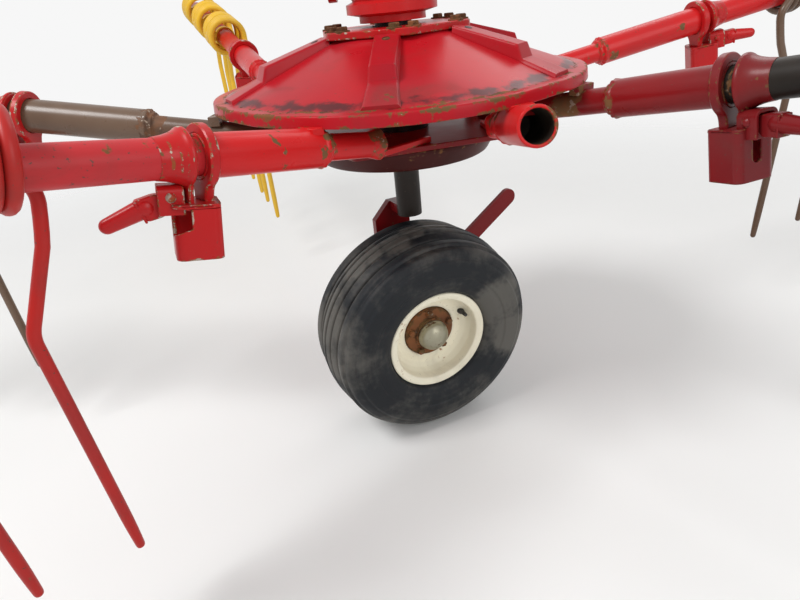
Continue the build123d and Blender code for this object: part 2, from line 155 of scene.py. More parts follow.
# One object from grids of points (rows, columns, 3) with quads between neighbours, closed round where asked;
# doubles at poles and seams are merged and the faces turned outwards.
def gridPiece(name, grids, body, finish, replaces=()):
    allPoints, allFaces, allWear, count = [], [], [], 0
    for points, wear, loopRows, loopColumns in grids:
        rows, columns = points.shape[:2]
        index = np.arange(rows * columns).reshape(rows, columns) + count
        r = np.arange(rows if loopRows else rows - 1)
        c = np.arange(columns if loopColumns else columns - 1)
        rn, cn = (r + 1) % rows, (c + 1) % columns
        quads = [index[np.ix_(*pair)] for pair in ((r, c), (rn, c), (rn, cn), (r, cn))]
        allPoints.append(points.reshape(-1, 3))
        allFaces.append(np.stack(quads, axis=-1).reshape(-1, 4))
        allWear.append(np.broadcast_to(0.0 if wear is None else wear, (rows, columns)).reshape(-1))
        count += rows * columns
    mesh = bpy.data.meshes.new(name)
    mesh.from_pydata(np.vstack(allPoints).tolist(), [], np.vstack(allFaces).tolist())
    wearLayer = mesh.attributes.new("wear", "FLOAT", "POINT")
    wearLayer.data.foreach_set("value", np.concatenate(allWear).astype(np.float32))
    work = bmesh.new()
    work.from_mesh(mesh)
    bmesh.ops.remove_doubles(work, verts=work.verts, dist=meshing["merge"])
    bmesh.ops.dissolve_degenerate(work, edges=work.edges, dist=meshing["merge"])
    bmesh.ops.recalc_face_normals(work, faces=work.faces)
    work.to_mesh(mesh)
    work.free()
    mesh.polygons.foreach_set("use_smooth", np.ones(len(mesh.polygons), bool))
    mesh.set_sharp_from_angle(angle=math.radians(meshing["sharp"]))
    piece = bpy.data.objects.new(name, mesh)
    bpy.context.scene.collection.objects.link(piece)
    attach(piece, body)
    if replaces:
        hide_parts(*replaces)
    dress(piece, finish)
    return piece


# Turned shape: point(u, v) = (along(u), radius(u) * cos v, radius(u) * sin v), carried to the given axes.
def turned(corners, axes, count=96, bend=0.0015, step=0.006, reach=0.004, loop=True, ripple=None):
    points, wear = fineProfile(corners, bend, step, reach, loop)
    v = np.linspace(0, 2 * np.pi, count, endpoint=False)
    along = np.repeat(points[:, :1], count, axis=1)
    radius = np.repeat(points[:, 1:], count, axis=1)
    if ripple is not None:
        along, radius = ripple(along, radius, v[None, :])
    local = np.stack([along, radius * np.cos(v), radius * np.sin(v)], axis=-1)
    return placed(local, axes), wear[:, None], loop, True


# Profile of a plain ring between two places along and two radii.
def ringProfile(start, end, inner, outer):
    return [(start, inner), (start, outer), (end, outer), (end, inner)]


smallTurned = {"count": 24, "bend": 0.0004, "step": 0.01, "reach": 0.003, "loop": False}


# A closed outline with rounded corners, sampled evenly along its length.
def roundedOutline(corners, radius, count):
    return sampledEvenly(fineProfile(corners, bend=radius, step=0.001, arcSteps=8)[0], count)


# The hole that faces an outline: radius * unit(outline).
def holeFacing(outline, radius):
    return radius * outline / lengthOf(outline)


# Even corners round a circle: point(k) = radius * (cos, sin) of (turn + k * 360 degrees / corners).
def polygon(corners, radius, turn):
    at = np.radians(turn) + np.arange(corners) * 2 * np.pi / corners
    return np.stack([radius * np.cos(at), radius * np.sin(at)], axis=1)


# Outline of a plate with equal corners, from its dictionary.
def corneredOutline(plate, count):
    return roundedOutline(polygon(plate["corners"], plate["radius"], plate["turn"]), plate["corner"], count)


# A closed outline moved inwards by an amount, or outwards where it is negative.
def inset(line, amount):
    ahead = np.roll(line, -1, axis=0) - np.roll(line, 1, axis=0)
    normal = np.stack([ahead[:, 1], -ahead[:, 0]], axis=1)
    return line - amount * normal / np.maximum(lengthOf(normal), 1e-9)


# Rows of points (x, y, height) from pairs of an outline and a height.
def stacked(rings):
    return np.stack([np.column_stack([line, np.full(len(line), height)]) for line, height in rings])


plates = {"nearOuter": 0.006, "nearInner": 0.005, "nearMost": 0.4, "nearMiddle": 0.5}


# Flat plate between a closed outline and a closed hole with as many points: the cross-section is a
# rectangle with cut corners, carried round both, at heights low and high.
def plateBetween(outer, inner, low, high, cut=0.001):
    gap = lengthOf(outer - inner)
    nearOuter = outer + (inner - outer) * np.minimum(plates["nearOuter"] / gap, plates["nearMost"])
    nearInner = inner + (outer - inner) * np.minimum(plates["nearInner"] / gap, plates["nearMost"])
    rings = [
        (inset(outer, cut), low), (outer, low + cut), (outer, (low + high) / 2), (outer, high - cut),
        (inset(outer, cut), high), (nearOuter, high), (nearInner, high), (inset(inner, -cut), high),
        (inner, high - cut), (inner, low + cut), (inset(inner, -cut), low), (nearInner, low),
        (nearOuter, low)]
    wear = np.array([0.8, 1.0, 0.25, 1.0, 0.8, 0.1, 0.1, 0.7, 0.8, 0.8, 0.7, 0.1, 0.1])[:, None]
    return stacked(rings), wear, True, True


# Solid plate: the outline at heights low and high, its edges cut, both faces closed at the middle.
def solidPlate(outline, low, high, cut=0.001):
    centre = np.repeat(outline.mean(axis=0)[None], len(outline), axis=0)
    share = np.minimum(plates["nearInner"] / lengthOf(centre - outline), plates["nearMiddle"])
    inner = outline + (centre - outline) * share
    smaller = inset(outline, cut)
    rings = [
        (centre, low), (inner, low), (smaller, low), (outline, low + cut), (outline, (low + high) / 2),
        (outline, high - cut), (smaller, high), (inner, high), (centre, high)]
    return stacked(rings), np.array([0.0, 0.1, 0.8, 1.0, 0.4, 1.0, 0.8, 0.1, 0.0])[:, None], False, True


# A plate that lies across the arm: its outline is in (side, top) and its thickness along the arm.
def acrossArm(outline, hole, low, high, axes, cut=0.0012):
    points, *rest = plateBetween(outline, hole, low, high, cut)
    return placed(points[..., [2, 0, 1]], axes), *rest


# A plate that lies along the arm: its outline is in (along, top) and its thickness to the side.
def alongArm(outline, low, high, axes, cut=0.001):
    points, *rest = solidPlate(outline, low, high, cut)
    return placed(points[..., [0, 2, 1]], axes), *rest


# Block between low and high corners in the given axes, its edges cut by a plate's section.
def block(low, high, axes, cut=0.0008, count=24):
    low, high = np.array(low, float), np.array(high, float)
    middle, half = (low + high) / 2, (high - low) / 2
    square = np.array([[-1, -1], [1, -1], [1, 1], [-1, 1]], float)
    face = half[2]
    rings = []
    for height, share in ((-face, 0.0), (-face, 0.7), (-face, 1.0), (-face + cut, 1.0), (0.0, 1.0),
                          (face - cut, 1.0), (face, 1.0), (face, 0.7), (face, 0.0)):
        shrink = cut if abs(height) > face - cut / 2 else 0.0
        rings.append((roundedOutline(square * (half[:2] - shrink), cut, count) * share, height))
    wear = np.array([0.0, 0.1, 0.9, 1.0, 0.15, 1.0, 0.9, 0.1, 0.0])[:, None]
    return placed(stacked(rings) + middle, axes), wear, False, True


# Folded sheet: a centre line in (side, top), half a thickness to both of its sides, carried along the lock.
def foldedSheet(line, thick, start, end, axes, cut=0.0008, near=0.005):
    ahead = np.gradient(line, axis=0)
    normal = np.stack([ahead[:, 1], -ahead[:, 0]], axis=1) / lengthOf(ahead)
    edge = 1 - cut / thick * 2
    rows = []
    for along, share in ((start, 0.0), (start, edge), (start + cut, 1.0), (start + near, 1.0),
                         (end - near, 1.0), (end - cut, 1.0), (end, edge), (end, 0.0)):
        offset = normal * thick / 2 * share
        loop = np.vstack([line + offset, (line - offset)[::-1]])
        rows.append(np.column_stack([np.full(len(loop), along), loop]))
    wear = np.array([0.6, 0.9, 1.0, 0.1, 0.1, 1.0, 0.9, 0.6])[:, None]
    return placed(np.stack(rows), axes), wear, False, True


# Round bar along a path: point(u, v) = path(u) + radius(u) * (cos v * N + sin v * B), with N given per
# point, T the path's direction and B = T x N. The ends close with half-round caps.
def bar(path, guide, radius, count=14, capSteps=3):
    tangent = np.gradient(path, axis=0)
    tangent /= lengthOf(tangent)
    across = guide - (guide * tangent).sum(axis=1, keepdims=True) * tangent
    across /= lengthOf(across)
    other = np.cross(tangent, across)
    radius = np.broadcast_to(radius, len(path)).astype(float)
    t = np.linspace(0, np.pi / 2, capSteps + 1)[:-1]
    startPath = path[0] - np.cos(t)[:, None] * radius[0] * tangent[0]
    endPath = path[-1] + np.cos(t[::-1])[:, None] * radius[-1] * tangent[-1]
    fullPath = np.vstack([startPath, path, endPath])
    size = np.concatenate([np.sin(t) * radius[0], radius, np.sin(t[::-1]) * radius[-1]])
    n, b = [np.vstack([np.repeat(rows[:1], capSteps, 0), rows, np.repeat(rows[-1:], capSteps, 0)])
            for rows in (across, other)]
    v = np.linspace(0, 2 * np.pi, count, endpoint=False)
    ring = np.cos(v)[None, :, None] * n[:, None] + np.sin(v)[None, :, None] * b[:, None]
    return fullPath[:, None] + size[:, None, None] * ring, None, False, True


# Hexagon head bolt with its washer, standing on a point along a direction.
def bolt(point, direction, across=0.0085, head=0.007, washer=0.011):
    direction = np.array(direction, float) / np.linalg.norm(direction)
    side = np.cross(up if abs(direction[2]) < 0.9 else upright[2], direction)
    side = side / np.linalg.norm(side)
    axes = (np.array(point, float), direction, side, np.cross(direction, side))
    disc = turned(ringProfile(-0.001, 0.0018, 0.0, washer), axes, **smallTurned)
    corners = [(0.0016, 0.0), (0.0016, across), (head - 0.0012, across), (head, across * 0.86), (head, 0.0)]
    hexagon = turned(corners, axes, **{**smallTurned, "count": 6, "bend": 0.0001})
    return [disc, hexagon]


print("tools ready")


# A node tree with short calls for the nodes used here. A source is a socket, a number or a colour.
class NodeTree:
    def __init__(self, tree):
        self.tree = tree
        self.coords = None

    def feed(self, socket, source):
        if isinstance(source, (int, float)):
            socket.default_value = source
        elif isinstance(source, (tuple, list)):
            socket.default_value = (*source, 1.0)
        else:
            self.tree.links.new(source, socket)

    # Values named at1, at2 and so on go on the sockets of that number, others are the node's settings.
    def node(self, kind, links=(), **values):
        node = self.tree.nodes.new(kind)
        for key, value in values.items():
            if key[2:].isdigit():
                node.inputs[int(key[2:])].default_value = value
            else:
                setattr(node, key, value)
        for socket, source in links:
            self.tree.links.new(source, node.inputs[socket])
        return node

    def noise(self, scale, detail=3.0, roughness=0.55, distortion=0.0):
        node = self.node("ShaderNodeTexNoise", [("Vector", self.coords)])
        settings = {"Scale": scale, "Detail": detail, "Roughness": roughness, "Distortion": distortion}
        for name, value in settings.items():
            node.inputs[name].default_value = value
        return node.outputs[0]

    def maths(self, operation, a, b=0.0):
        node = self.node("ShaderNodeMath", operation=operation)
        self.feed(node.inputs[0], a)
        self.feed(node.inputs[1], b)
        return node.outputs[0]

    def add(self, a, b):
        return self.maths("ADD", a, b)

    def times(self, a, b):
        return self.maths("MULTIPLY", a, b)

    def vector(self, operation, *sources, **values):
        node = self.node("ShaderNodeVectorMath", list(enumerate(sources)), operation=operation, **values)
        return node.outputs

    # 0 below low, top above high, smooth between
    def step(self, source, low, high, top=1.0):
        return self.node("ShaderNodeMapRange", [(0, source)], interpolation_type="SMOOTHSTEP",
                         at1=low, at2=high, at3=0.0, at4=top).outputs[0]

    def mix(self, factor, a, b):
        node = self.node("ShaderNodeMix", data_type="RGBA")
        for k, source in ((0, factor), (6, a), (7, b)):
            self.feed(node.inputs[k], source)
        return node.outputs[2]

    def wear(self):
        return self.node("ShaderNodeAttribute", attribute_name="wear").outputs["Fac"]

    def bumpFrom(self, height, strength, distance, shader):
        bump = self.node("ShaderNodeBump", [("Height", height)])
        bump.inputs["Strength"].default_value = strength
        bump.inputs["Distance"].default_value = distance
        self.tree.links.new(bump.outputs[0], shader.inputs["Normal"])


spotEdge = {"scale": 60.0, "shift": 0.03, "core": 0.35}


# Highest of several round patches: strength * smooth(1 - distance to the patch's middle / radius), with the
# distance warped by a noise so that the patches get ragged.
def spotsIn(tree, spots):
    warp = tree.node("ShaderNodeTexNoise", [("Vector", tree.coords)])
    warp.inputs["Scale"].default_value = spotEdge["scale"]
    shift = tree.vector("MULTIPLY_ADD", warp.outputs["Color"], at1=(spotEdge["shift"],) * 3,
                        at2=(-spotEdge["shift"] / 2,) * 3)[0]
    moved = tree.vector("ADD", tree.coords, shift)[0]
    total = None
    for *place, radius, strength in spots:
        distance = tree.vector("DISTANCE", moved, at1=place)["Value"]
        near = tree.step(distance, radius, radius * spotEdge["core"], strength)
        total = near if total is None else tree.maths("MAXIMUM", total, near)
    return total


ringEdge = {"scale": 26.0, "detail": 5, "roughness": 0.65, "reach": 0.06, "outer": 0.042, "inner": 0.030,
            "share": 0.85}


# A ragged dark ring: high where |distance from the rotor's axis - radius| plus a noise is small.
def ringIn(tree, radius):
    flat = tree.vector("MULTIPLY", tree.coords, at1=(1.0, 1.0, 0.0))[0]
    off = tree.maths("ABSOLUTE", tree.maths("SUBTRACT", tree.vector("LENGTH", flat)["Value"], radius))
    grain = tree.noise(ringEdge["scale"], ringEdge["detail"], ringEdge["roughness"])
    level = tree.times(tree.add(off, tree.times(grain, ringEdge["reach"])), -1.0)
    return tree.step(level, -ringEdge["outer"], -ringEdge["inner"], ringEdge["share"])


# A new material with its node tree, its Object coordinates and its shader.
def startFinish(name):
    finish = bpy.data.materials.new(name)
    finish.use_nodes = True
    tree = NodeTree(finish.node_tree)
    tree.coords = tree.node("ShaderNodeTexCoord").outputs["Object"]
    return finish, tree, finish.node_tree.nodes["Principled BSDF"]


paintGrain = {
    "fadeFrom": 0.35, "fadeTo": 0.7, "speckScale": 210.0, "speckSoft": 0.04, "raggedShare": 0.6,
    "fineScale": 4.5, "fineShare": 0.4, "chipSoft": 0.025, "edgeSoft": 0.035, "edgeShare": 0.35,
    "rustScale": 55.0, "rustFrom": 0.38, "rustTo": 0.62, "bareScale": 130.0, "bareSoft": 0.06,
    "bareMetal": 0.8, "grimeFrom": 0.52, "grimeTo": 0.78, "dullScale": 18.0, "dullShare": 0.22,
    "dullMiddle": 0.1, "chipDull": 0.4, "grimeDull": 0.25, "bumpScale": 75.0, "bumpShare": 0.25,
    "bumpHeight": 0.0006, "coatRoughness": 0.12}


# Paint over primer over rust: the paint varies between fresh and faded, chips open where two noises and the
# piece's wear value add up past a level, and dust and grime lie over all in soft patches.
def paintFinish(name, look):
    finish, tree, shader = startFinish(name)
    noise, add, times, step, mix = tree.noise, tree.add, tree.times, tree.step, tree.mix
    g = paintGrain
    wear = tree.wear()
    paint = mix(step(noise(look["fadeScale"], 4), g["fadeFrom"], g["fadeTo"]), look["fresh"], look["faded"])
    speckFrom = look["speckFrom"]
    specks = step(noise(g["speckScale"], 2), speckFrom, speckFrom + g["speckSoft"], look["specks"])
    paint = mix(specks, paint, look["grime"])
    ragged = times(noise(look["chipScale"], 6, 0.62, 0.4), g["raggedShare"])
    fine = times(noise(look["chipScale"] * g["fineScale"], 3), g["fineShare"])
    level = add(add(ragged, fine), times(wear, look["wearGain"]))
    if look.get("spots"):
        level = add(level, spotsIn(tree, look["spots"]))
    chips = step(level, look["chipLevel"], look["chipLevel"] + g["chipSoft"])
    edge = step(level, look["chipLevel"] - g["edgeSoft"], look["chipLevel"])
    rust = mix(step(noise(g["rustScale"], 5), g["rustFrom"], g["rustTo"]), look["primer"], look["rust"])
    bare = step(noise(g["bareScale"], 4), look["bareFrom"], look["bareFrom"] + g["bareSoft"])
    rust = mix(bare, rust, look["bare"])
    colour = mix(chips, mix(times(edge, g["edgeShare"]), paint, look["primer"]), rust)
    grime = step(noise(look["grimeScale"], 6, 0.6, 0.6), g["grimeFrom"], g["grimeTo"], look["grimeShare"])
    colour = mix(grime, colour, look["grime"])
    if look.get("ring"):
        colour = mix(ringIn(tree, look["ring"]), colour, look["ringTone"])
    dull = add(times(chips, g["chipDull"]), times(noise(g["dullScale"], 5), g["dullShare"]))
    dull = add(dull, times(grime, g["grimeDull"]))
    height = tree.maths("SUBTRACT", times(noise(g["bumpScale"], 4), g["bumpShare"]), chips)
    tree.bumpFrom(height, look["bump"], g["bumpHeight"], shader)
    for socket, source in (
            ("Base Color", colour), ("Roughness", add(dull, look["roughness"] - g["dullMiddle"])),
            ("Metallic", tree.maths("MAXIMUM", times(times(bare, chips), g["bareMetal"]), look["metal"])),
            ("Coat Weight", look["coat"]), ("Coat Roughness", g["coatRoughness"]),
            ("Specular IOR Level", look["shine"])):
        tree.feed(shader.inputs[socket], source)
    return finish


# Spots of wear: x, y, z, radius, strength
armSpots = [
    (0.229, -0.133, -0.235, 0.035, 0.30), (0.243, -0.150, -0.224, 0.016, 0.2),
    (-0.146, -0.318, -0.209, 0.008, 0.22), (-0.141, -0.317, -0.214, 0.005, 0.2),
    (-0.132, -0.314, -0.222, 0.0055, 0.2), (-0.095, -0.281, -0.237, 0.011, 0.22),
    (-0.029, -0.211, -0.243, 0.020, 0.04), (0.404, 0.196, -0.217, 0.012, 0.2),
    (0.532, 0.224, -0.184, 0.012, 0.2)]
dishSpots = [
    (-0.017, -0.250, -0.186, 0.012, 0.2), (-0.012, -0.236, -0.180, 0.007, 0.16),
    (0.137, -0.178, -0.178, 0.014, 0.12), (-0.17, -0.228, -0.200, 0.025, 0.08),
    (0.05, -0.283, -0.200, 0.03, 0.07), (0.13, -0.255, -0.200, 0.03, 0.07),
    (-0.245, -0.145, -0.205, 0.03, 0.08)]
lockSpots = [(-0.188, -0.361, -0.199, 0.018, 0.2), (-0.196, -0.372, -0.215, 0.012, 0.12)]
outerSpots = [
    (-0.273, -0.434, -0.1825, 0.011, 0.2), (-0.253, -0.407, -0.1835, 0.008, 0.18),
    (-0.24, -0.40, -0.20, 0.006, 0.15)]
steelSpots = [
    (-0.361, -0.090, -0.221, 0.034, 0.5), (-0.268, -0.094, -0.220, 0.020, 0.25),
    (-0.262, -0.094, -0.240, 0.018, 0.2)]
tyreSpots = [
    (-0.150, -0.125, -0.543, 0.060, 0.25), (-0.178, -0.087, -0.577, 0.06, 0.25),
    (-0.140, -0.150, -0.625, 0.04, 0.2), (-0.096, -0.100, -0.464, 0.032, 0.3),
    (-0.065, -0.096, -0.449, 0.03, 0.3), (-0.033, -0.092, -0.435, 0.036, 0.3),
    (0.0, -0.060, -0.432, 0.034, 0.3), (0.032, -0.028, -0.429, 0.036, 0.25),
    (0.142, -0.077, -0.565, 0.060, 0.32), (0.171, -0.057, -0.639, 0.060, 0.34)]

redPaint = {
    "fresh": (0.60, 0.010, 0.011), "faded": (0.50, 0.018, 0.020), "fadeScale": 5.0, "specks": 0.5,
    "speckFrom": 0.69, "primer": (0.14, 0.080, 0.032), "rust": (0.20, 0.078, 0.028),
    "grime": (0.10, 0.045, 0.035), "chipScale": 24.0, "chipLevel": 0.665, "wearGain": 0.13,
    "grimeScale": 9.0, "grimeShare": 0.35, "roughness": 0.30, "bump": 0.35, "coat": 0.04, "shine": 0.22,
    "metal": 0.0, "bare": (0.38, 0.31, 0.24), "bareFrom": 0.62}
# Each finish says where it differs from the red paint.
looks = {
    "red": ("signalRed", {"spots": armSpots}),
    # Darker red that paints shade on the second arm's sleeve, the wheel crank and the guard bar.
    "paintedShadeRed": ("paintedShadeRed", {
        "fresh": (0.24, 0.006, 0.008), "faded": (0.18, 0.009, 0.011), "spots": armSpots}),
    # The dish darkens in a ragged ring just inside its rim.
    "dishRed": ("dishRed", {
        "fresh": (0.46, 0.008, 0.014), "faded": (0.38, 0.012, 0.022), "coat": 0.02, "shine": 0.12,
        "chipLevel": 0.72, "wearGain": 0.22, "grimeShare": 0.45, "chipScale": 34.0, "spots": dishSpots,
        "ring": 0.257, "ringTone": (0.040, 0.012, 0.014)}),
    "coverRed": ("coverRed", {
        "fresh": (0.42, 0.008, 0.014), "faded": (0.35, 0.012, 0.022), "coat": 0.02, "shine": 0.14,
        "chipLevel": 0.74, "wearGain": 0.16, "grimeShare": 0.5, "chipScale": 40.0, "spots": dishSpots}),
    "fadedRed": ("fadedRed", {
        "fresh": (0.54, 0.020, 0.025), "faded": (0.46, 0.030, 0.036), "specks": 0.9, "speckFrom": 0.65,
        "roughness": 0.42, "chipLevel": 0.69, "coat": 0.03, "spots": outerSpots}),
    # Near-black red of the bottom pan: painted shade under the dish.
    "panPaintedShadeRed": ("panRedPaintedShade", {
        "fresh": (0.060, 0.004, 0.003), "faded": (0.036, 0.005, 0.004), "shine": 0.15,
        "grimeShare": 0.6, "roughness": 0.4, "chipLevel": 0.70}),
    "lockRed": ("lockRed", {
        "fresh": (0.50, 0.008, 0.009), "faded": (0.40, 0.014, 0.016), "chipLevel": 0.745, "wearGain": 0.24,
        "chipScale": 55.0, "bareFrom": 0.50, "rust": (0.30, 0.075, 0.022), "bare": (0.46, 0.39, 0.32),
        "spots": lockSpots}),
    # Darker lock red that paints shade on the second arm's lock and on the carrier plate.
    "lockPaintedShadeRed": ("lockPaintedShadeRed", {
        "fresh": (0.23, 0.007, 0.009), "faded": (0.17, 0.009, 0.012), "chipLevel": 0.77,
        "wearGain": 0.22, "chipScale": 55.0}),
    # Near-black finish of the second arm's outer tube and tines.
    "nearBlack": ("nearBlack", {
        "fresh": (0.009, 0.008, 0.007), "faded": (0.020, 0.016, 0.013), "grime": (0.05, 0.035, 0.025),
        "chipLevel": 0.70, "roughness": 0.40, "shine": 0.18, "coat": 0.0}),
    "tineRed": ("tineRed", {
        "fresh": (0.50, 0.016, 0.012), "faded": (0.36, 0.022, 0.020), "chipLevel": 0.645,
        "chipScale": 60.0, "specks": 0.9, "roughness": 0.42, "coat": 0.03}),
    "yellowPaint": ("yellowPaint", {
        "fresh": (0.80, 0.48, 0.03), "faded": (0.72, 0.45, 0.05), "specks": 0.2, "grimeShare": 0.15,
        "chipLevel": 0.74, "roughness": 0.35}),
    "brownSteel": ("brownSteel", {
        "fresh": (0.095, 0.050, 0.028), "faded": (0.15, 0.095, 0.062), "primer": (0.09, 0.05, 0.03),
        "rust": (0.16, 0.07, 0.03), "roughness": 0.27, "chipLevel": 0.66, "wearGain": 0.10, "coat": 0.03,
        "shine": 0.35, "spots": steelSpots}),
    "darkSteel": ("darkSteel", {
        "fresh": (0.012, 0.008, 0.006), "faded": (0.026, 0.017, 0.012), "shine": 0.2,
        "grime": (0.07, 0.05, 0.035), "roughness": 0.45, "coat": 0.1}),
    # Bore linings: dark steel, darkened further as painted shade inside the bores.
    "boreSteelAndShade": ("boreSteelAndShade", {
        "fresh": (0.020, 0.014, 0.010), "faded": (0.085, 0.066, 0.050), "grime": (0.05, 0.035, 0.025),
        "roughness": 0.55, "coat": 0.0, "fadeScale": 14.0}),
    "rustIron": ("rustIron", {
        "fresh": (0.24, 0.090, 0.032), "faded": (0.09, 0.035, 0.018), "rust": (0.10, 0.045, 0.022),
        "grime": (0.16, 0.08, 0.05), "roughness": 0.7, "chipLevel": 0.60, "bump": 0.9, "coat": 0.0}),
    "creamPaint": ("creamPaint", {
        "fresh": (0.95, 0.90, 0.72), "faded": (0.86, 0.80, 0.63), "primer": (0.42, 0.24, 0.10),
        "rust": (0.30, 0.13, 0.05), "grime": (0.36, 0.30, 0.22), "chipLevel": 0.70, "wearGain": 0.06,
        "roughness": 0.5, "coat": 0.05}),
    "greyCap": ("greyCap", {
        "fresh": (0.38, 0.36, 0.27), "faded": (0.27, 0.25, 0.18), "primer": (0.16, 0.10, 0.05),
        "rust": (0.12, 0.06, 0.03), "grime": (0.08, 0.06, 0.045), "roughness": 0.33, "coat": 0.0,
        "metal": 0.65})}
finishes = {key: paintFinish(name, {**redPaint, **look}) for key, (name, look) in looks.items()}

rubber = {"colour": (0.013, 0.015, 0.018), "dust": (0.17, 0.16, 0.14), "dustScale": 11.0, "dustFrom": 0.45,
          "dustTo": 0.80, "dustShare": 0.6, "wearGain": 0.05, "roughness": 0.50, "dullScale": 30.0,
          "dullShare": 0.25, "shine": 0.22, "grainScale": 260.0, "bump": 0.25, "bumpHeight": 0.0005,
          "spots": tyreSpots}


# Rubber: near black, paler where dust lies, with a fine grain.
def rubberFinish(name, look):
    finish, tree, shader = startFinish(name)
    dusty = tree.add(tree.noise(look["dustScale"], 6, 0.65), tree.times(tree.wear(), look["wearGain"]))
    dusty = tree.add(dusty, spotsIn(tree, look["spots"]))
    dust = tree.step(dusty, look["dustFrom"], look["dustTo"], look["dustShare"])
    dull = tree.times(tree.noise(look["dullScale"], 4), look["dullShare"])
    rough = tree.add(dull, look["roughness"] - paintGrain["dullMiddle"])
    tree.feed(shader.inputs["Base Color"], tree.mix(dust, look["colour"], look["dust"]))
    tree.feed(shader.inputs["Roughness"], rough)
    tree.feed(shader.inputs["Specular IOR Level"], look["shine"])
    tree.bumpFrom(tree.noise(look["grainScale"], 3), look["bump"], look["bumpHeight"], shader)
    return finish


finishes["rubber"] = rubberFinish("tyreRubber", rubber)
print("finishes ready:", len(finishes))

# Dish: a cone of sheet with a turned-down rim
dish = {"crown": -0.130, "crownRadius": 0.100, "shoulderRadius": 0.268, "rimRadius": 0.286, "rimTop": -0.195,
        "rimLow": -0.211, "sheet": 0.004, "boreRadius": 0.042, "wobble": 0.0011, "sag": 0.0055,
        "sagAt": 4.66, "sagHalf": 0.80}


# The dish is dented and hangs down in front: its height changes by (radius / rim)^3 times wobble * a sum of
# slow sines round it, less sag * the root of a raised cosine between sagAt - sagHalf and sagAt + sagHalf.
def dishShift(radius, turn):
    wave = np.sin(3 * turn + 0.7) * 0.5 + np.sin(7 * turn + 2.1) * 0.3 + np.sin(11 * turn + 4.0) * 0.2
    away = np.abs(np.mod(turn - dish["sagAt"] + np.pi, 2 * np.pi) - np.pi)
    hang = np.sqrt((1 + np.cos(np.pi * np.clip(away / dish["sagHalf"], 0, 1))) / 2)
    return (radius / dish["rimRadius"]) ** 3 * (dish["wobble"] * wave - dish["sag"] * hang)


# The same shift as a ripple of the turned dish, whose height is its place along the rotor's axis.
def dishRipple(along, radius, turn):
    return along + dishShift(radius, turn), radius


# Height of the cone: a straight slope from the crown's edge down to the shoulder.
def coneHeight(radius):
    share = (radius - dish["crownRadius"]) / (dish["shoulderRadius"] - dish["crownRadius"])
    return dish["crown"] + share * (dish["rimTop"] - dish["crown"])


crown, crownRadius, shoulder = dish["crown"], dish["crownRadius"], dish["shoulderRadius"]
rim, rimTop, rimLow, sheet = dish["rimRadius"], dish["rimTop"], dish["rimLow"], dish["sheet"]
dishCorners = [
    (crown, dish["boreRadius"]), (crown, crownRadius), (rimTop, shoulder), (rimTop - 0.0005, rim - 0.0015),
    (rimLow, rim), (rimLow, rim - sheet), (rimTop - sheet, rim - sheet - 0.001),
    (rimTop - sheet, shoulder - 0.001), (crown - sheet, crownRadius - 0.001),
    (crown - sheet, dish["boreRadius"])]
dishGrid = turned(dishCorners, upright, count=240, bend=0.0028, step=0.004, reach=0.006, ripple=dishRipple)
gridPiece("dishCover", [dishGrid], "rotor", "dishRed", ["dish"])

# Covers that stand on the cone like upturned troughs: a closed section (w across, h above the cone) carried
# out along a radius. Their ridge climbs outwards, drops at an end slope and runs on as a low tongue.
cover = {"first": 25.0, "count": 6, "start": 0.112, "end": 0.266, "halfWidth": 0.020, "lean": 0.003,
         "sink": -0.003, "startHeight": 0.009, "ridge": 0.020, "ridgeAt": 0.210, "slope": 0.007,
         "tongue": 0.0045, "tongueHalf": 0.025, "holeAt": 0.128, "holeRadius": 0.0055,
         "holeTilt": (0.30, 0.954)}
ridgeEnd = cover["ridgeAt"] + cover["slope"]
u = np.concatenate([np.linspace(cover["start"], cover["ridgeAt"], 28),
                    cover["ridgeAt"] + np.linspace(0, cover["slope"], 6)[1:],
                    np.linspace(ridgeEnd, cover["end"], 10)[1:]])
u = np.concatenate([u[:1], u, u[-1:]])
heights = np.interp(u, [cover["start"], cover["ridgeAt"], ridgeEnd, cover["end"]],
                    [cover["startHeight"], cover["ridge"], cover["tongue"], cover["tongue"]])
heights[[0, -1]] = 0.0
widths = np.interp(u, [cover["ridgeAt"], cover["end"]], [1.0, cover["tongueHalf"] / cover["halfWidth"]])
foot, ridgeHalf = cover["halfWidth"], cover["halfWidth"] - cover["lean"]
sectionCorners = [(-foot, cover["sink"]), (-ridgeHalf, cover["ridge"]), (ridgeHalf, cover["ridge"]),
                  (foot, cover["sink"])]
section, sectionWear = fineProfile(sectionCorners, bend=0.0035, step=0.004, reach=0.0035)
w, h = section[None, :, :1], section[None, :, 1]
coverWear = np.where(section[:, 1] < 0.002, 0.3, sectionWear)[None, :]
lift = np.where(h < 0, h, h * heights[:, None] / cover["ridge"])
coverGrids, coverHoleShade = [], []
for k in range(cover["count"]):
    turn = math.radians(cover["first"] + 360 / cover["count"] * k)
    out, across = levelVectors(turn)
    xy = u[:, None, None] * out[:2] + w * widths[:, None, None] * across[:2]
    z = coneHeight(u)[:, None] + lift + dishShift(u, turn)[:, None]
    coverGrids.append((np.concatenate([xy, z[..., None]], axis=2), coverWear, False, True))
    # Each cover hole is a dark disc on the cover's top: painted shade for the hole's inside.
    at = cover["holeAt"]
    spot = at * out + (coneHeight(at) + np.interp(at, u, heights) + dishShift(at, turn)) * up
    tilt = cover["holeTilt"][0] * out + cover["holeTilt"][1] * up
    coverHoleShade.append(turned(ringProfile(-0.002, 0.0006, 0.0, cover["holeRadius"]),
                             (spot, tilt, across, np.cross(tilt, across)), **smallTurned))
gridPiece("dishCovers", coverGrids, "rotor", "coverRed", ["dish_channels"])
gridPiece("coverHoleShade", coverHoleShade, "rotor", "darkSteel")
print("dish ready")

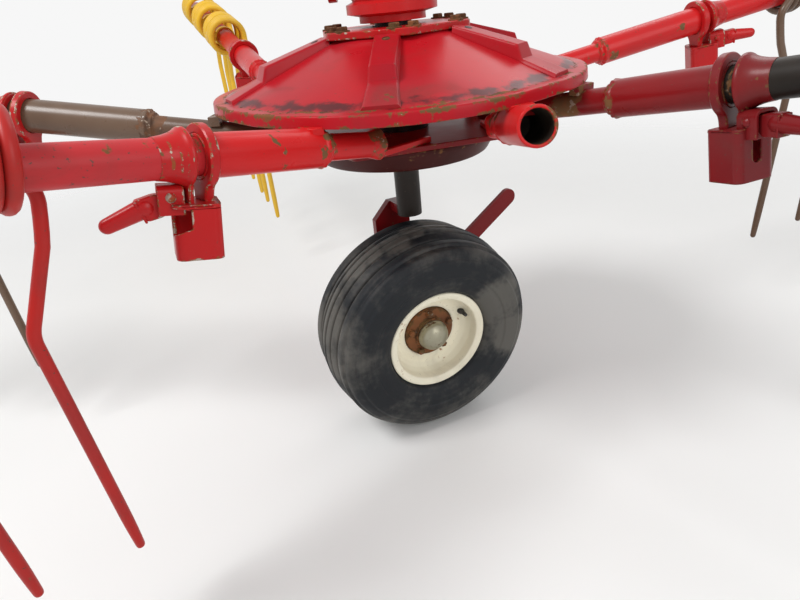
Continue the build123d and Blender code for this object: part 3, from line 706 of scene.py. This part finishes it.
# Hub plate with two bolts at each corner
hubPlate = {"radius": 0.122, "corners": 6, "turn": 38.0, "corner": 0.014, "bore": 0.034, "cut": 0.0012,
            "boltRadius": 0.103, "boltSpread": 0.13}
outline = corneredOutline(hubPlate, 240)
gridPiece("hubPlate", [plateBetween(outline, holeFacing(outline, hubPlate["bore"]), rotor["hubPlateLow"],
                                    rotor["hubPlateHigh"], hubPlate["cut"])],
          "rotor", "lockRed", ["hub_plate"])
hubBolts = []
for k in range(hubPlate["corners"]):
    turn = math.radians(hubPlate["turn"] + 360 / hubPlate["corners"] * k)
    for spread in (-hubPlate["boltSpread"], hubPlate["boltSpread"]):
        out = levelVectors(turn + spread)[0]
        hubBolts += bolt(hubPlate["boltRadius"] * out + rotor["hubPlateHigh"] * up, up)
gridPiece("hubBolts", hubBolts, "rotor", "rustIron")

# Carrier plate and bottom pan, both painted darker as painted shade
carrier = {"radius": 0.186, "corners": 5, "turn": 320.0, "corner": 0.006, "thick": 0.008, "bore": 0.042}
outline = corneredOutline(carrier, 280)
gridPiece("carrierPlate", [plateBetween(outline, holeFacing(outline, carrier["bore"]), rotor["armLevel"],
                                        rotor["armLevel"] + carrier["thick"], 0.001)],
          "rotor", "lockPaintedShadeRed", ["carrier_plate"])
pan = {"depth": 0.030, "wallDepth": 0.006, "bore": 0.042, "floorRadius": 0.136, "radius": 0.150,
       "sheet": 0.003}
panTop, panWide, panSheet = rotor["armLevel"], pan["radius"], pan["sheet"]
panWall, panFloor = panTop - pan["wallDepth"], panTop - pan["depth"]
panCorners = [
    (panFloor, pan["bore"]), (panFloor, pan["floorRadius"]), (panWall, panWide), (panTop, panWide),
    (panTop, panWide - panSheet), (panWall, panWide - panSheet),
    (panFloor + panSheet, pan["floorRadius"] - panSheet), (panFloor + panSheet, pan["bore"])]
panGrid = turned(panCorners, upright, count=160, bend=0.004, step=0.006, reach=0.004)
gridPiece("bottomPan", [panGrid], "rotor", "panPaintedShadeRed", ["bottom_pan"])

# Bolts of the column's shaft bosses, and a dark lining in their bore: dark steel with painted shade
boss = {"face": 0.092, "bolts": 4, "firstBolt": 45.0, "boltCircle": 0.0287, "boreHalf": 0.0905,
        "bore": 0.0174, "liner": 0.0006}
bossBolts = []
for side in (-1, 1):
    for k in range(boss["bolts"]):
        turn = math.radians(boss["firstBolt"] + 360 / boss["bolts"] * k)
        spot = (side * boss["face"], boss["boltCircle"] * math.cos(turn),
                rotor["shaftLevel"] + boss["boltCircle"] * math.sin(turn))
        bossBolts += bolt(spot, (side, 0, 0), across=0.0065, head=0.0055, washer=0.0085)
gridPiece("bossBolts", bossBolts, "column", "rustIron")
shaftLiner = ringProfile(-boss["boreHalf"], boss["boreHalf"], boss["bore"] - boss["liner"], boss["bore"])
shaftAxes = (rotor["shaftLevel"] * up, upright[2], upright[3], up)
shaftGrid = turned(shaftLiner, shaftAxes, count=48, bend=0.0002, step=0.02, reach=0.003)
gridPiece("shaftBore", [shaftGrid], "column", "boreSteelAndShade")
print("hub plate, carrier, pan and column ready")

# Arm sleeves and sockets, each in the arm's own axes (along, side, top)
sleeve = {"flare": 0.0198, "neck": 0.01685, "radius": 0.02415, "wall": 0.004, "flareLength": 0.022,
          "stepLength": 0.012, "bearing": 0.095, "bead": 0.0011, "beadRipple": 0.0006, "rootRipple": 0.0012}
web = {"from": 0.056, "to": 0.162, "half": 0.004, "high": 0.016}
saddle = {"half": 0.008, "halfWidth": 0.017, "lift": 0.012}
saddleAt = math.sqrt((rim - sheet / 2) ** 2 - arms["offset"] ** 2)


# Turned arm sleeve: flared root, neck, weld bead at the step, bearing sleeve with its open bore.
def sleeveGrid(azimuth, step, end):
    root, bearing = arms["rootAt"], end - sleeve["bearing"]
    flare, neck, radius, wall, bead = [sleeve[key] for key in ("flare", "neck", "radius", "wall", "bead")]
    corners = [
        (root + 0.002, 0.004), (root, 0.010), (root + 0.001, 0.016), (root + 0.004, flare),
        (root + 0.009, flare), (root + sleeve["flareLength"], neck), (step - 0.003, neck),
        (step - 0.001, neck + 0.004),
        (step + 0.003, radius - 0.003), (step + 0.006, radius + bead), (step + 0.010, radius + bead * 0.7),
        (step + sleeve["stepLength"], radius), (end, radius), (end, radius - wall), (bearing, radius - wall),
        (bearing - 0.006, neck - wall), (root + 0.006, neck - wall)]

    # The weld beads at the step and at the root are uneven.
    def ripple(along, radius, turn):
        nearStep = np.exp(-((along - step - 0.005) / 0.005) ** 2)
        nearRoot = np.exp(-((along - root - 0.006) / 0.006) ** 2)
        radius = radius + nearStep * sleeve["beadRipple"] * np.sin(17 * turn)
        return along, radius + nearRoot * sleeve["rootRipple"] * np.sin(5 * turn + 1)
    return turned(corners, armAxes(azimuth), count=72, bend=0.0012, step=0.007, reach=0.006, ripple=ripple)


# The sleeve with its saddle under the dish's rim and its web on the carrier plate.
def sleevePieces(azimuth, step, end):
    flat, offset = levelAxes(azimuth), arms["offset"]
    low, high = saddleAt * math.tan(math.radians(arms["rise"])) + saddle["lift"], rimLow - rotor["armLevel"]
    saddleBlock = block((saddleAt - saddle["half"], offset - saddle["halfWidth"], low),
                        (saddleAt + saddle["half"], offset + saddle["halfWidth"], high), flat)
    webBlock = block((web["from"], offset - web["half"], carrier["thick"]),
                     (web["to"], offset + web["half"], web["high"]), flat)
    return [sleeveGrid(azimuth, step, end), saddleBlock, webBlock]


# Outer tubes with their tines
outer = {"radius": 0.0212, "shoulder": 0.005, "bore": 0.0142, "stubIn": 0.006, "stubGap": 0.00005,
         "tineFirst": 0.174, "tinePitch": 0.190, "tineCount": 3, "past": 0.014}
tines = {"wire": 0.007, "coil": 0.041, "turns": 2.5, "pitch": 0.0142, "length": 0.094, "lead": 0.024,
         "shift": 0.012, "lift": 0.008, "bend": 0.046,
         "points": ((0.003, 0.081), (0.027, 0.174), (-0.044, 0.482)),
         "drop": ((0.0, -0.040), (0.0008, -0.055), (0.0018, -0.068), (0.0035, -0.083)),
         "tip": (0.80, 0.88, 0.94, 0.98, 1.0, 1.0), "clampHalf": 0.008, "clampRadius": 0.0252}


# Outer tube: bearing stub, a shoulder between the lock's rings, the tube and its end.
def outerGrid(azimuth, end):
    stub, face = sleeve["radius"] - sleeve["wall"] - outer["stubGap"], end + outer["shoulder"]
    near, bore, radius = end - sleeve["bearing"] + outer["stubIn"], outer["bore"], outer["radius"]
    lastTine = end + outer["tineFirst"] + outer["tinePitch"] * (outer["tineCount"] - 1)
    far = lastTine + tines["length"] + outer["past"]
    corners = [(near, bore), (near, stub), (face, stub), (face, radius), (far, radius), (far, bore)]
    return turned(corners, armAxes(azimuth), count=72, bend=0.0012, step=0.008, reach=0.005)


# Wire of a double tine: tip, kink, rise, S-shaped lead, coil of radius r round the tube, bridge and the
# second half. Coil point(a) = (first + pitch * a / 2pi, -r cos a, lift + r sin a); the second coil is its
# mirror image, and its prong bends the same way as the first one.
def tinePath(start):
    r, lift, wire = tines["coil"], tines["lift"], tines["wire"]
    knee, kink, tip = [np.array([out, -drop]) for out, drop in tines["points"]]
    down, away = (kink - knee) / np.linalg.norm(kink - knee), (tip - kink) / np.linalg.norm(tip - kink)
    cut = tines["bend"] * math.tan(math.acos(np.clip(down @ away, -1, 1)) / 2)
    bendStart, bendEnd = kink - down * cut, kink + away * cut
    bend = bentLine(bendStart, kink, bendEnd, np.linspace(0, 1, 12)[:, None])
    upper = np.array(tines["drop"])
    between = upper[-1] + np.linspace(0, 1, 8)[1:-1, None] * (bendStart - upper[-1])
    fall = np.vstack([upper, between, bend, bendEnd + np.linspace(0, 1, 22)[1:, None] * (tip - bendEnd)])
    a = np.linspace(0, tines["turns"] * 2 * np.pi, 90)[1:]
    t = np.linspace(0, 1, 16)[1:, None]
    halves = []
    for lead, shift in ((tines["lead"], tines["shift"]), (0.0, 0.0)):
        first = start + wire - shift
        hang = np.column_stack([first - lead + fall[:, 0], np.full(len(fall), -r), fall[:, 1]])
        curve = ((1 - t) ** 3 * [first - lead, -r, -0.040] + 3 * t * (1 - t) ** 2 * [first - lead, -r, -0.012]
                 + 3 * t ** 2 * (1 - t) * [first, -r, -0.018] + t ** 3 * [first, -r, lift])
        out = first + tines["pitch"] * a / (2 * np.pi)
        coil = np.column_stack([out, -r * np.cos(a), lift + r * np.sin(a)])
        halves.append(np.vstack([hang[::-1], curve, coil]))
    far = halves[1][::-1].copy()
    far[:, 0] = 2 * (start + tines["length"] / 2) - far[:, 0]
    far[-len(fall):, 0] = start + tines["length"] - wire + fall[:, 0]
    whole = np.vstack([halves[0], far])
    size = np.full(len(whole), wire)
    tipSize = wire * np.array(tines["tip"])
    size[:len(tipSize)] = tipSize
    size[-len(tipSize):] = tipSize[::-1]
    onCoil = np.zeros(len(whole), bool)
    onCoil[len(halves[0]) - len(a):len(halves[0]) + len(a)] = True
    guide = np.where(onCoil[:, None], (whole - [0.0, 0.0, lift]) * [0.0, 1.0, 1.0], [[0.0, -1.0, 0.0]])
    return whole, guide, size


# Three double tines, each with a clamp ring round the tube and a block up to its bridge.
def tineGrids(azimuth, first):
    axes, half, ring = armAxes(azimuth), tines["clampHalf"], tines["clampRadius"]
    grids = []
    for k in range(outer["tineCount"]):
        start = first + outer["tinePitch"] * k
        middle = start + tines["length"] / 2
        grids.append(carried(bar(*tinePath(start)), axes))
        clamp = ringProfile(middle - half, middle + half, outer["radius"], ring)
        grids.append(turned(clamp, axes, count=48, bend=0.0008, step=0.01))
        grids.append(block((middle - half, 0.022, -0.006), (middle + half, 0.046, 0.018), axes))
    return grids


# Arm locks: two rings that face each other, a square housing below, an ear with a rivet, and a lever
lock = {"ring": 0.0345, "thick": 0.011, "gap": 0.012, "collar": 0.030, "collarThick": 0.006, "turn": 20.0,
        "tongue": 0.013, "side": 0.050, "corner": 0.009, "wall": 0.004, "top": 0.046, "height": 0.060,
        "slotHalf": 0.006, "slotDrop": 0.034, "slotFrom": 0.0185, "notchReach": 0.015}
ear = {"from": 0.011, "length": 0.027, "half": 0.015, "height": 0.031, "top": 0.027, "sheet": 0.004,
       "rivet": 0.0055, "rivetDrop": 0.0395, "bend": 0.006}
lever = {"step": 0.034, "half": 0.0065, "length": 0.068, "gripStart": 0.0112, "gripEnd": 0.0084,
         "gripShort": 0.0045, "flat": 0.85, "noseLow": 0.060, "noseHalf": 0.004}


# Outline of a lock ring in (side, top): a circle of the ring's radius that runs down into a tongue.
def ringOutline(radius, count=160):
    start = math.degrees(math.asin(lock["tongue"] / radius)) + 14
    turn = np.radians(np.linspace(-90 + start, 270 - start, 60))
    circle = np.column_stack([radius * np.cos(turn), radius * np.sin(turn)])
    foot = np.array([lock["tongue"], -lock["top"] - 0.0005])
    knee = np.array([lock["tongue"], circle[0, 1] - 0.004])
    hollow = bentLine(circle[0], knee, foot, np.linspace(0, 1, 12)[1:, None])
    return sampledEvenly(np.vstack([hollow[::-1], circle, hollow * [-1, 1]]), count)


# Housing wall below the rings: a rounded square's outline walked by length s from the middle of its outboard
# face, point(s, z), with a gap that opens at that face for the slot, and wider for the first lock's notch.
def housingSheet(axes, notched, count=161):
    half, corner = lock["side"] / 2, lock["corner"]
    quarter = np.radians(np.linspace(0, 90, 10))
    rounded = half - corner + corner * np.stack([np.cos(quarter), np.sin(quarter)], axis=1)
    turns = [np.array([[0, -1], [1, 0]]), np.array([[-1, 0], [0, -1]]), np.array([[0, 1], [-1, 0]])]
    line = np.vstack([[half, 0.0], rounded] + [rounded @ turn.T for turn in turns] + [[half, 0.0]])
    travelled = travelAlong(line)
    slotEnd = lock["slotDrop"] + lock["slotHalf"]
    z = np.concatenate([np.linspace(0, slotEnd, 40), np.linspace(slotEnd, lock["height"], 12)[1:]])
    below = np.clip((z - lock["slotDrop"]) / lock["slotHalf"], 0, 1)
    width = lock["slotHalf"] * np.sqrt(1 - below ** 2)
    opened = width
    if notched:
        slope = np.clip((lock["slotDrop"] + 0.004 - z) / 0.012, 0, 1) * (z > 0.005)
        opened = np.maximum(width, (half + lock["notchReach"]) * slope)
    at = opened[:, None] + np.linspace(0, 1, count)[None, :] * (travelled[-1] - opened - width)[:, None]
    x, y = np.interp(at, travelled, line[:, 0]), np.interp(at, travelled, line[:, 1])
    points = np.stack([x, y, np.broadcast_to(-lock["top"] - z[:, None], x.shape)], axis=-1)
    wear = np.exp(-(np.minimum(z, lock["height"] - z) / 0.004) ** 2)[:, None] * np.ones((1, count))
    wear[:, :3] = wear[:, -3:] = np.where(z < slotEnd, 1.0, 0.3)[:, None]
    return placed(points, axes), wear, False, False


# The sleeve's ring, and the tube's ring that runs out in a trumpet-shaped collar.
def lockRings(end, axes):
    hole, collar, at = outer["radius"] + outer["stubGap"], lock["collar"], end + lock["gap"]
    big, small = ringOutline(lock["ring"]), ringOutline(collar)
    trumpet = [
        (at + 0.001, hole), (at + 0.001, collar + 0.0015), (at + 0.005, collar + 0.0015),
        (at + 0.009, 0.0283), (at + 0.015, 0.0256), (at + 0.023, 0.0234), (at + 0.034, 0.0218),
        (at + 0.034, hole)]
    bigHole = holeFacing(big, sleeve["radius"] - 0.0002)
    return [acrossArm(big, bigHole, end - lock["thick"], end, axes, 0.0015),
            acrossArm(small, holeFacing(small, hole), at, at + lock["collarThick"], axes),
            turned(trumpet, axes, count=72, bend=0.0030, step=0.004, reach=0.0022)]


# Bent ear, its rivet, and the housing's lid with the slot's end in it.
def lockEar(axes, rivetAxes):
    half, slot, slotFrom = lock["side"] / 2, lock["slotHalf"], lock["slotFrom"]
    lid = roundedOutline([(half, -half), (half, -slot), (slotFrom, -slot), (slotFrom, slot), (half, slot),
                          (half, half), (-half, half), (-half, -half)], lock["corner"], 160)
    quarter = np.radians(np.linspace(0, 90, 7))
    r, w, h = ear["bend"], ear["half"] - ear["sheet"] / 2, -ear["top"] - ear["sheet"] / 2
    low = -ear["top"] - ear["height"]
    bend = np.column_stack([w - r + r * np.cos(quarter), h - r + r * np.sin(quarter)])
    oneSide = np.vstack([[[w, low], [w, (low + h) / 2]], bend])
    line = np.vstack([oneSide, (oneSide * [-1, 1])[::-1]])
    head, radius = ear["half"], ear["rivet"]
    headCorners = [(head - 0.001, 0.0036), (head - 0.001, radius), (head + 0.0005, radius),
                   (head + 0.0030, 0.0030), (head + 0.0035, 0.0)]
    rivetCorners = [(-x, y) for x, y in headCorners[::-1]] + headCorners
    rivet = turned(rivetCorners, rivetAxes, count=32, bend=0.0010, step=0.004, reach=0.003, loop=False)
    return [foldedSheet(line, ear["sheet"], ear["from"], ear["from"] + ear["length"], axes), rivet,
            carried(solidPlate(lid, -lock["top"] - lock["wall"], -lock["top"]), axes)]


# Lever: folded blade on the rivet, then a rib and a tapered grip, and its nose in the slot.
def lockLever(axes, leverAxes, fall):
    step, half = lever["step"], lever["half"]
    reach = math.hypot(fall, lever["length"]) - lever["gripShort"]
    bladeCorners = [
        (-0.006, -0.0055), (0.004, -0.0065), (0.014, -0.0165), (step, -0.0135), (step + 0.003, 0.0120),
        (0.016, 0.0095), (0.010, 0.0075), (-0.006, 0.0070)]
    blade = roundedOutline(bladeCorners, 0.005, 140)
    path = np.column_stack([np.linspace(step - 0.006, reach, 16), np.zeros(16), np.zeros(16)])
    gripRadius = np.linspace(lever["gripStart"], lever["gripEnd"], 16)
    grip = bar(path, np.tile([0.0, 1.0, 0.0], (16, 1)), gripRadius, count=24, capSteps=6)
    grip[0][..., 1] *= lever["flat"]
    rib = block((step - 0.001, -0.0090, -0.0140), (step + 0.0015, 0.0090, 0.0105), leverAxes)
    nose = block((lock["slotFrom"] + 0.0008, -lever["noseHalf"], -lever["noseLow"]),
                 (lock["side"] / 2 + 0.003, lever["noseHalf"], -ear["rivetDrop"]), axes)
    return [alongArm(blade, -half, half, leverAxes, 0.0012), carried(grip, leverAxes), rib, nose]


# The four pieces of one arm's lock. Its own axes are turned about the arm's top, and the lever's axes slope
# down by its fall.
def lockPieces(n, azimuth, end, fall):
    axes = armAxes(azimuth)
    foot, along, side, top = axes
    c, s = math.cos(math.radians(lock["turn"])), math.sin(math.radians(lock["turn"]))
    out, across = c * along - s * side, s * along + c * side
    lockAxes = (foot + (end + lock["gap"] / 2) * along, out, across, top)
    pivot = lockAxes[0] + (ear["from"] + ear["length"] / 2) * out - ear["rivetDrop"] * top
    slope = math.atan2(fall, lever["length"])
    c, s = math.cos(slope), math.sin(slope)
    leverAxes = (pivot, c * out - s * top, across, c * top + s * out)
    # The second arm's lock takes the darker red of painted shade.
    paint = "lockPaintedShadeRed" if n == 2 else "lockRed"
    gridPiece(f"lockRings_{n}", lockRings(end, axes), "rotor", paint, ["lock_housings"])
    gridPiece(f"lockEar_{n}", lockEar(lockAxes, (pivot, across, out, top)), "rotor", paint)
    housing = gridPiece(f"lockHousing_{n}", [housingSheet(lockAxes, n == 1)], "rotor", paint)
    wall = housing.modifiers.new("wall", "SOLIDIFY")
    wall.thickness, wall.offset = lock["wall"], -1.0
    gridPiece(f"lockLever_{n}", lockLever(lockAxes, leverAxes, fall), "rotor", paint,
              ["latch_levers"])


# Finish and slot of the sleeves, tubes and tines that differ from their usual ones, by station
usualRed, bareSteel = ("red", "red_paint"), ("brownSteel", "brown_steel")
# The second arm's sleeve takes the darker red of painted shade.
sleeveLook = {2: ("paintedShadeRed", "red_paint"), 6: bareSteel}
outerLook = {1: ("fadedRed", "faded_paint"), 2: ("nearBlack", "black_paint"), 6: bareSteel}
tineLook = {1: ("tineRed", "red_paint"), 2: ("nearBlack", "black_paint"), 5: ("yellowPaint", "yellow_paint")}
for n, azimuth, step, end, fall in stations:
    finish, slot = sleeveLook.get(n, usualRed)
    gridPiece(f"armSleeve_{n}", sleevePieces(azimuth, step, end), "rotor", finish, [f"arm_sleeve_{n}"])
    finish, slot = outerLook.get(n, usualRed)
    gridPiece(f"outerTube_{n}", [outerGrid(azimuth, end)], f"arm_{n}", finish, [f"outer_tube_{n}"])
    finish, slot = tineLook.get(n, bareSteel)
    gridPiece(f"tineSet_{n}", tineGrids(azimuth, end + outer["tineFirst"]), f"arm_{n}", finish,
              [f"tines_{n}"])
    lockPieces(n, azimuth, end, fall)

# Empty sockets with a dark lining in their bores: dark steel with painted shade
liner = {"depth": 0.093, "outer": 0.0201, "inner": 0.0195, "sheet": 0.002, "back": 0.0002, "lip": 0.0025}
mouth = arms["socketEnd"]
deep, lip = mouth - liner["depth"], mouth - liner["lip"]
linerCorners = [
    (deep, liner["back"]), (deep, liner["outer"]), (lip, liner["outer"]), (mouth - 0.0015, 0.0198),
    (lip, liner["inner"]), (deep + liner["sheet"], liner["inner"]), (deep + liner["sheet"], liner["back"])]
for name, azimuth in sockets:
    gridPiece(f"{name}_tube", sleevePieces(azimuth, arms["socketStep"], mouth),
              "rotor", "red", [name])
    linerGrid = turned(linerCorners, armAxes(azimuth), count=64, bend=0.0005, step=0.008, reach=0.003)
    gridPiece(f"{name}_bore", [linerGrid], "rotor", "boreSteelAndShade")
print("arms, locks and tines ready")

# Wheel: tyre with grooves, rim with a recessed disc, hub, nuts, valve and cap
wheel = {"azimuth": 295.0, "camber": 4.2, "ahead": 0.048, "aside": -0.0176}
tyre = {"radius": 0.185, "half": 0.080, "crown": 5.0, "grooves": 5, "grooveStep": 0.0185,
        "grooveHalf": 0.0032, "grooveDeep": 0.0050, "grooveFloor": 0.6}
wheelRim = {"half": 0.063, "flange": 0.0905, "seat": 0.081, "wall": 0.0035, "disc": 0.026, "discHole": 0.0475}
hub = {"radius": 0.030, "flange": 0.060, "face": 0.046, "front": 0.038, "bore": 0.01505, "nuts": 5,
       "firstNut": 20.0, "nutCircle": 0.0385, "cap": 0.028}
valve = {"radius": 0.068, "turn": 0.33}
camber = math.radians(wheel["camber"])
level, wheelSide = levelVectors(math.radians(wheel["azimuth"]))
wheelCentre = wheel["ahead"] * level + wheel["aside"] * wheelSide + rotor["wheelLevel"] * up
facing = math.cos(camber) * level - math.sin(camber) * up
wheelTop = np.cross(facing, wheelSide)
wheelAxes = (wheelCentre, facing, wheelSide, wheelTop)


# A point on the wheel: a distance out along the axle, then a radius and a turn in radians.
def onWheel(out, radius, turn):
    return wheelCentre + out * facing + radius * (math.cos(turn) * wheelSide + math.sin(turn) * wheelTop)


half, top, flange, seat = tyre["half"], tyre["radius"], wheelRim["flange"], wheelRim["seat"]
tread = []
for k in range(tyre["grooves"]):
    at = (k - (tyre["grooves"] - 1) / 2) * tyre["grooveStep"]
    edge = top - tyre["crown"] * at ** 2
    floorHalf, floorAt = tyre["grooveHalf"] * tyre["grooveFloor"], edge - tyre["grooveDeep"]
    tread += [(at - tyre["grooveHalf"], edge), (at - floorHalf, floorAt), (at + floorHalf, floorAt),
              (at + tyre["grooveHalf"], edge)]
sideWall = [
    (half - 0.024, top - 0.0060), (half - 0.021, top - 0.0120), (half - 0.017, top - 0.0120),
    (half - 0.012, top - 0.0140), (half - 0.006, top - 0.0230), (half - 0.0050, top - 0.0275),
    (half - 0.0015, top - 0.0310), (half - 0.0002, top - 0.046), (half, top - 0.058),
    (half - 0.0022, top - 0.0605), (half - 0.0022, top - 0.070), (half - 0.007, flange + 0.013),
    (half - 0.012, flange + 0.004), (wheelRim["half"] - 0.004, flange + 0.001),
    (wheelRim["half"] - 0.004, seat)]
tyreCorners = tread + sideWall + [(-x, r) for x, r in sideWall[::-1]]
tyreGrid = turned(tyreCorners, wheelAxes, count=180, bend=0.004, step=0.005, reach=0.004)
gridPiece("tyre_ribbed", [tyreGrid], "wheel", "rubber", ["tyre"])

rimHalf, wall, disc, hole = wheelRim["half"], wheelRim["wall"], wheelRim["disc"], wheelRim["discHole"]
rimCorners = [
    (-rimHalf, flange), (-rimHalf + 0.0037, flange + 0.0005), (-rimHalf + 0.0037, seat - 0.0003),
    (rimHalf - 0.0037, seat - 0.0003), (rimHalf - 0.0037, flange + 0.0005), (rimHalf, flange),
    (rimHalf + 0.0004, flange - 0.004), (rimHalf - 0.003, seat - wall), (disc + 0.016, seat - wall - 0.001),
    (disc + 0.006, seat - 0.009), (disc, seat - 0.016), (disc + 0.0012, hole + 0.006), (disc, hole),
    (disc - wall, hole), (disc - wall, seat - 0.015), (disc + 0.006 - wall, seat - 0.008),
    (disc + 0.002, seat - wall), (-rimHalf, seat - wall)]
rimGrid = turned(rimCorners, wheelAxes, count=160, bend=0.0022, step=0.004, reach=0.005)
gridPiece("wheelRim", [rimGrid], "wheel", "creamPaint", ["wheel_rim"])

hubBack, barrel, front = disc - wall - 0.009, hub["radius"], hub["front"]
hubCorners = [
    (-rimHalf + 0.006, hub["bore"]), (-rimHalf + 0.006, barrel - 0.006), (hubBack, barrel - 0.006),
    (hubBack, hub["flange"]), (disc - wall - 0.0003, hub["flange"]), (disc - wall - 0.0003, hub["face"]),
    (disc + 0.004, hub["face"]), (disc + 0.007, barrel), (front, barrel), (front, hub["bore"])]
hubGrid = turned(hubCorners, wheelAxes, count=96, bend=0.0015, step=0.004)
gridPiece("wheelHub", [hubGrid], "wheel", "rustIron", ["wheel_hub"])

valveCorners = [
    (-0.004, 0.0), (-0.004, 0.0065), (0.004, 0.0055), (0.006, 0.0036), (0.018, 0.0032), (0.018, 0.0)]
valveAxes = (onWheel(disc + 0.003, valve["radius"], valve["turn"]), facing, wheelSide, wheelTop)
valveGrid = turned(valveCorners, valveAxes, count=24, bend=0.0012, step=0.003, reach=0.003, loop=False)
gridPiece("wheelValve", [valveGrid], "wheel", "rubber")

cap = hub["cap"]
capCorners = [(front + x, r) for x, r in (
    (0.0, 0.019), (0.0, cap - 0.001), (0.004, cap), (0.008, cap - 0.0015), (0.014, cap - 0.003),
    (0.021, cap - 0.010), (0.0255, cap - 0.020), (0.026, 0.0), (0.023, 0.0), (0.020, cap - 0.014),
    (0.012, cap - 0.006))]
capGrid = turned(capCorners, wheelAxes, count=72, bend=0.004, step=0.003, reach=0.003, loop=False)
gridPiece("hubCapDome", [capGrid], "wheel", "greyCap", ["hub_cap"])

nuts = []
for k in range(hub["nuts"]):
    turn = math.radians(hub["firstNut"] + 360 / hub["nuts"] * k)
    spot = onWheel(disc + 0.0045, hub["nutCircle"], turn)
    nuts += bolt(spot, facing, across=0.0062, head=0.0085, washer=0.0075)
gridPiece("wheelNuts", nuts, "wheel", "rustIron")
print("wheel ready")

# Nodes that keep their own shape; the wheel crank and the guard bar get the darker red of painted shade
for name, key in (("drive_column", "red"), ("spindle", "darkSteel"), ("rotor_hub", "darkSteel"),
                  ("leg", "darkSteel"), ("wheel_crank", "paintedShadeRed"), ("guard_bar", "paintedShadeRed")):
    dress(nodes[name], key)

# Camera
eye = {"place": (0.002, -0.998, -0.079), "right": (0.9958, -0.0119, -0.0913), "up": (0.0867, 0.4540, 0.8868),
       "look": (-0.0309, 0.8909, -0.4531), "lens": 27.0, "sensor": 36.0, "near": 0.01}
lensData = bpy.data.cameras.new("photoLens")
lensData.lens, lensData.sensor_width, lensData.clip_start = eye["lens"], eye["sensor"], eye["near"]
camera = bpy.data.objects.new("photoCamera", lensData)
bpy.context.scene.collection.objects.link(camera)
turnMatrix = Matrix([list(eye["right"]), list(eye["up"]), [-c for c in eye["look"]]]).transposed().to_4x4()
camera.matrix_world = Matrix.Translation(eye["place"]) @ turnMatrix
bpy.context.scene.camera = camera

# Pale floor that fades out with the distance from the rotor's axis
ground = {"half": 14.0, "height": -0.800, "colour": (0.88, 0.88, 0.87), "shade": 0.985, "roughness": 0.85,
          "fadeFrom": 1.1, "fadeTo": 3.2}
floorMesh = bpy.data.meshes.new("paleFloor")
floorCorners = [(x * ground["half"], y * ground["half"], ground["height"])
                for x, y in ((-1, -1), (1, -1), (1, 1), (-1, 1))]
floorMesh.from_pydata(floorCorners, [], [(0, 1, 2, 3)])
floor = bpy.data.objects.new("paleFloor", floorMesh)
bpy.context.scene.collection.objects.link(floor)
floorFinish, tree, shader = startFinish("paleFloor")
tone = tree.step(tree.noise(2.0, 3), 0.3, 0.7)
shaded = tuple(c * ground["shade"] for c in ground["colour"])
tree.feed(shader.inputs["Base Color"], tree.mix(tone, ground["colour"], shaded))
tree.feed(shader.inputs["Roughness"], ground["roughness"])
away = tree.vector("DISTANCE", tree.coords, at1=(0.0, 0.0, ground["height"]))["Value"]
fade = tree.step(away, ground["fadeFrom"], ground["fadeTo"])
clear = tree.node("ShaderNodeBsdfTransparent")
blend = tree.node("ShaderNodeMixShader", [(0, fade), (1, shader.outputs[0]), (2, clear.outputs[0])])
tree.feed(tree.tree.nodes["Material Output"].inputs["Surface"], blend.outputs[0])
floorMesh.materials.append(floorFinish)

lamps = [  # name, place, aim, size, watts
    ("keyLamp", (-1.9, -1.2, 2.6), (0.0, 0.0, -0.4), 1.4, 88.0),
    ("fillLamp", (2.0, -2.2, 1.0), (0.0, 0.0, -0.4), 2.2, 34.0),
    ("backLamp", (1.6, 2.4, 2.4), (0.0, 0.0, -0.3), 2.0, 24.0)]
for name, place, aim, size, watts in lamps:
    lampData = bpy.data.lights.new(name, "AREA")
    lampData.shape, lampData.size, lampData.energy = "DISK", size, watts
    lamp = bpy.data.objects.new(name, lampData)
    bpy.context.scene.collection.objects.link(lamp)
    direction = np.array(place) - np.array(aim)
    direction = direction / np.linalg.norm(direction)
    sideways = np.cross((0, 0, 1), direction)
    sideways = sideways / np.linalg.norm(sideways)
    upwards = np.cross(direction, sideways)
    turnMatrix = Matrix([sideways, upwards, direction]).transposed().to_4x4()
    lamp.matrix_world = Matrix.Translation(place) @ turnMatrix

# World: pale where the camera or a gloss sees it, dimmer as light
sky = {"colour": (0.93, 0.93, 0.93), "strength": 0.48, "seenMore": 0.52}
world = bpy.data.worlds.new("studio")
bpy.context.scene.world = world
world.use_nodes = True
skyTree = NodeTree(world.node_tree)
background = world.node_tree.nodes["Background"]
skyTree.feed(background.inputs[0], sky["colour"])
rays = skyTree.node("ShaderNodeLightPath").outputs
seen = skyTree.maths("MAXIMUM", rays["Is Camera Ray"],
                     skyTree.maths("MAXIMUM", rays["Is Glossy Ray"], rays["Is Transmission Ray"]))
skyTree.feed(background.inputs[1], skyTree.add(skyTree.times(seen, sky["seenMore"]), sky["strength"]))
bpy.context.scene.view_settings.view_transform = "Standard"
print("camera, floor and light ready")
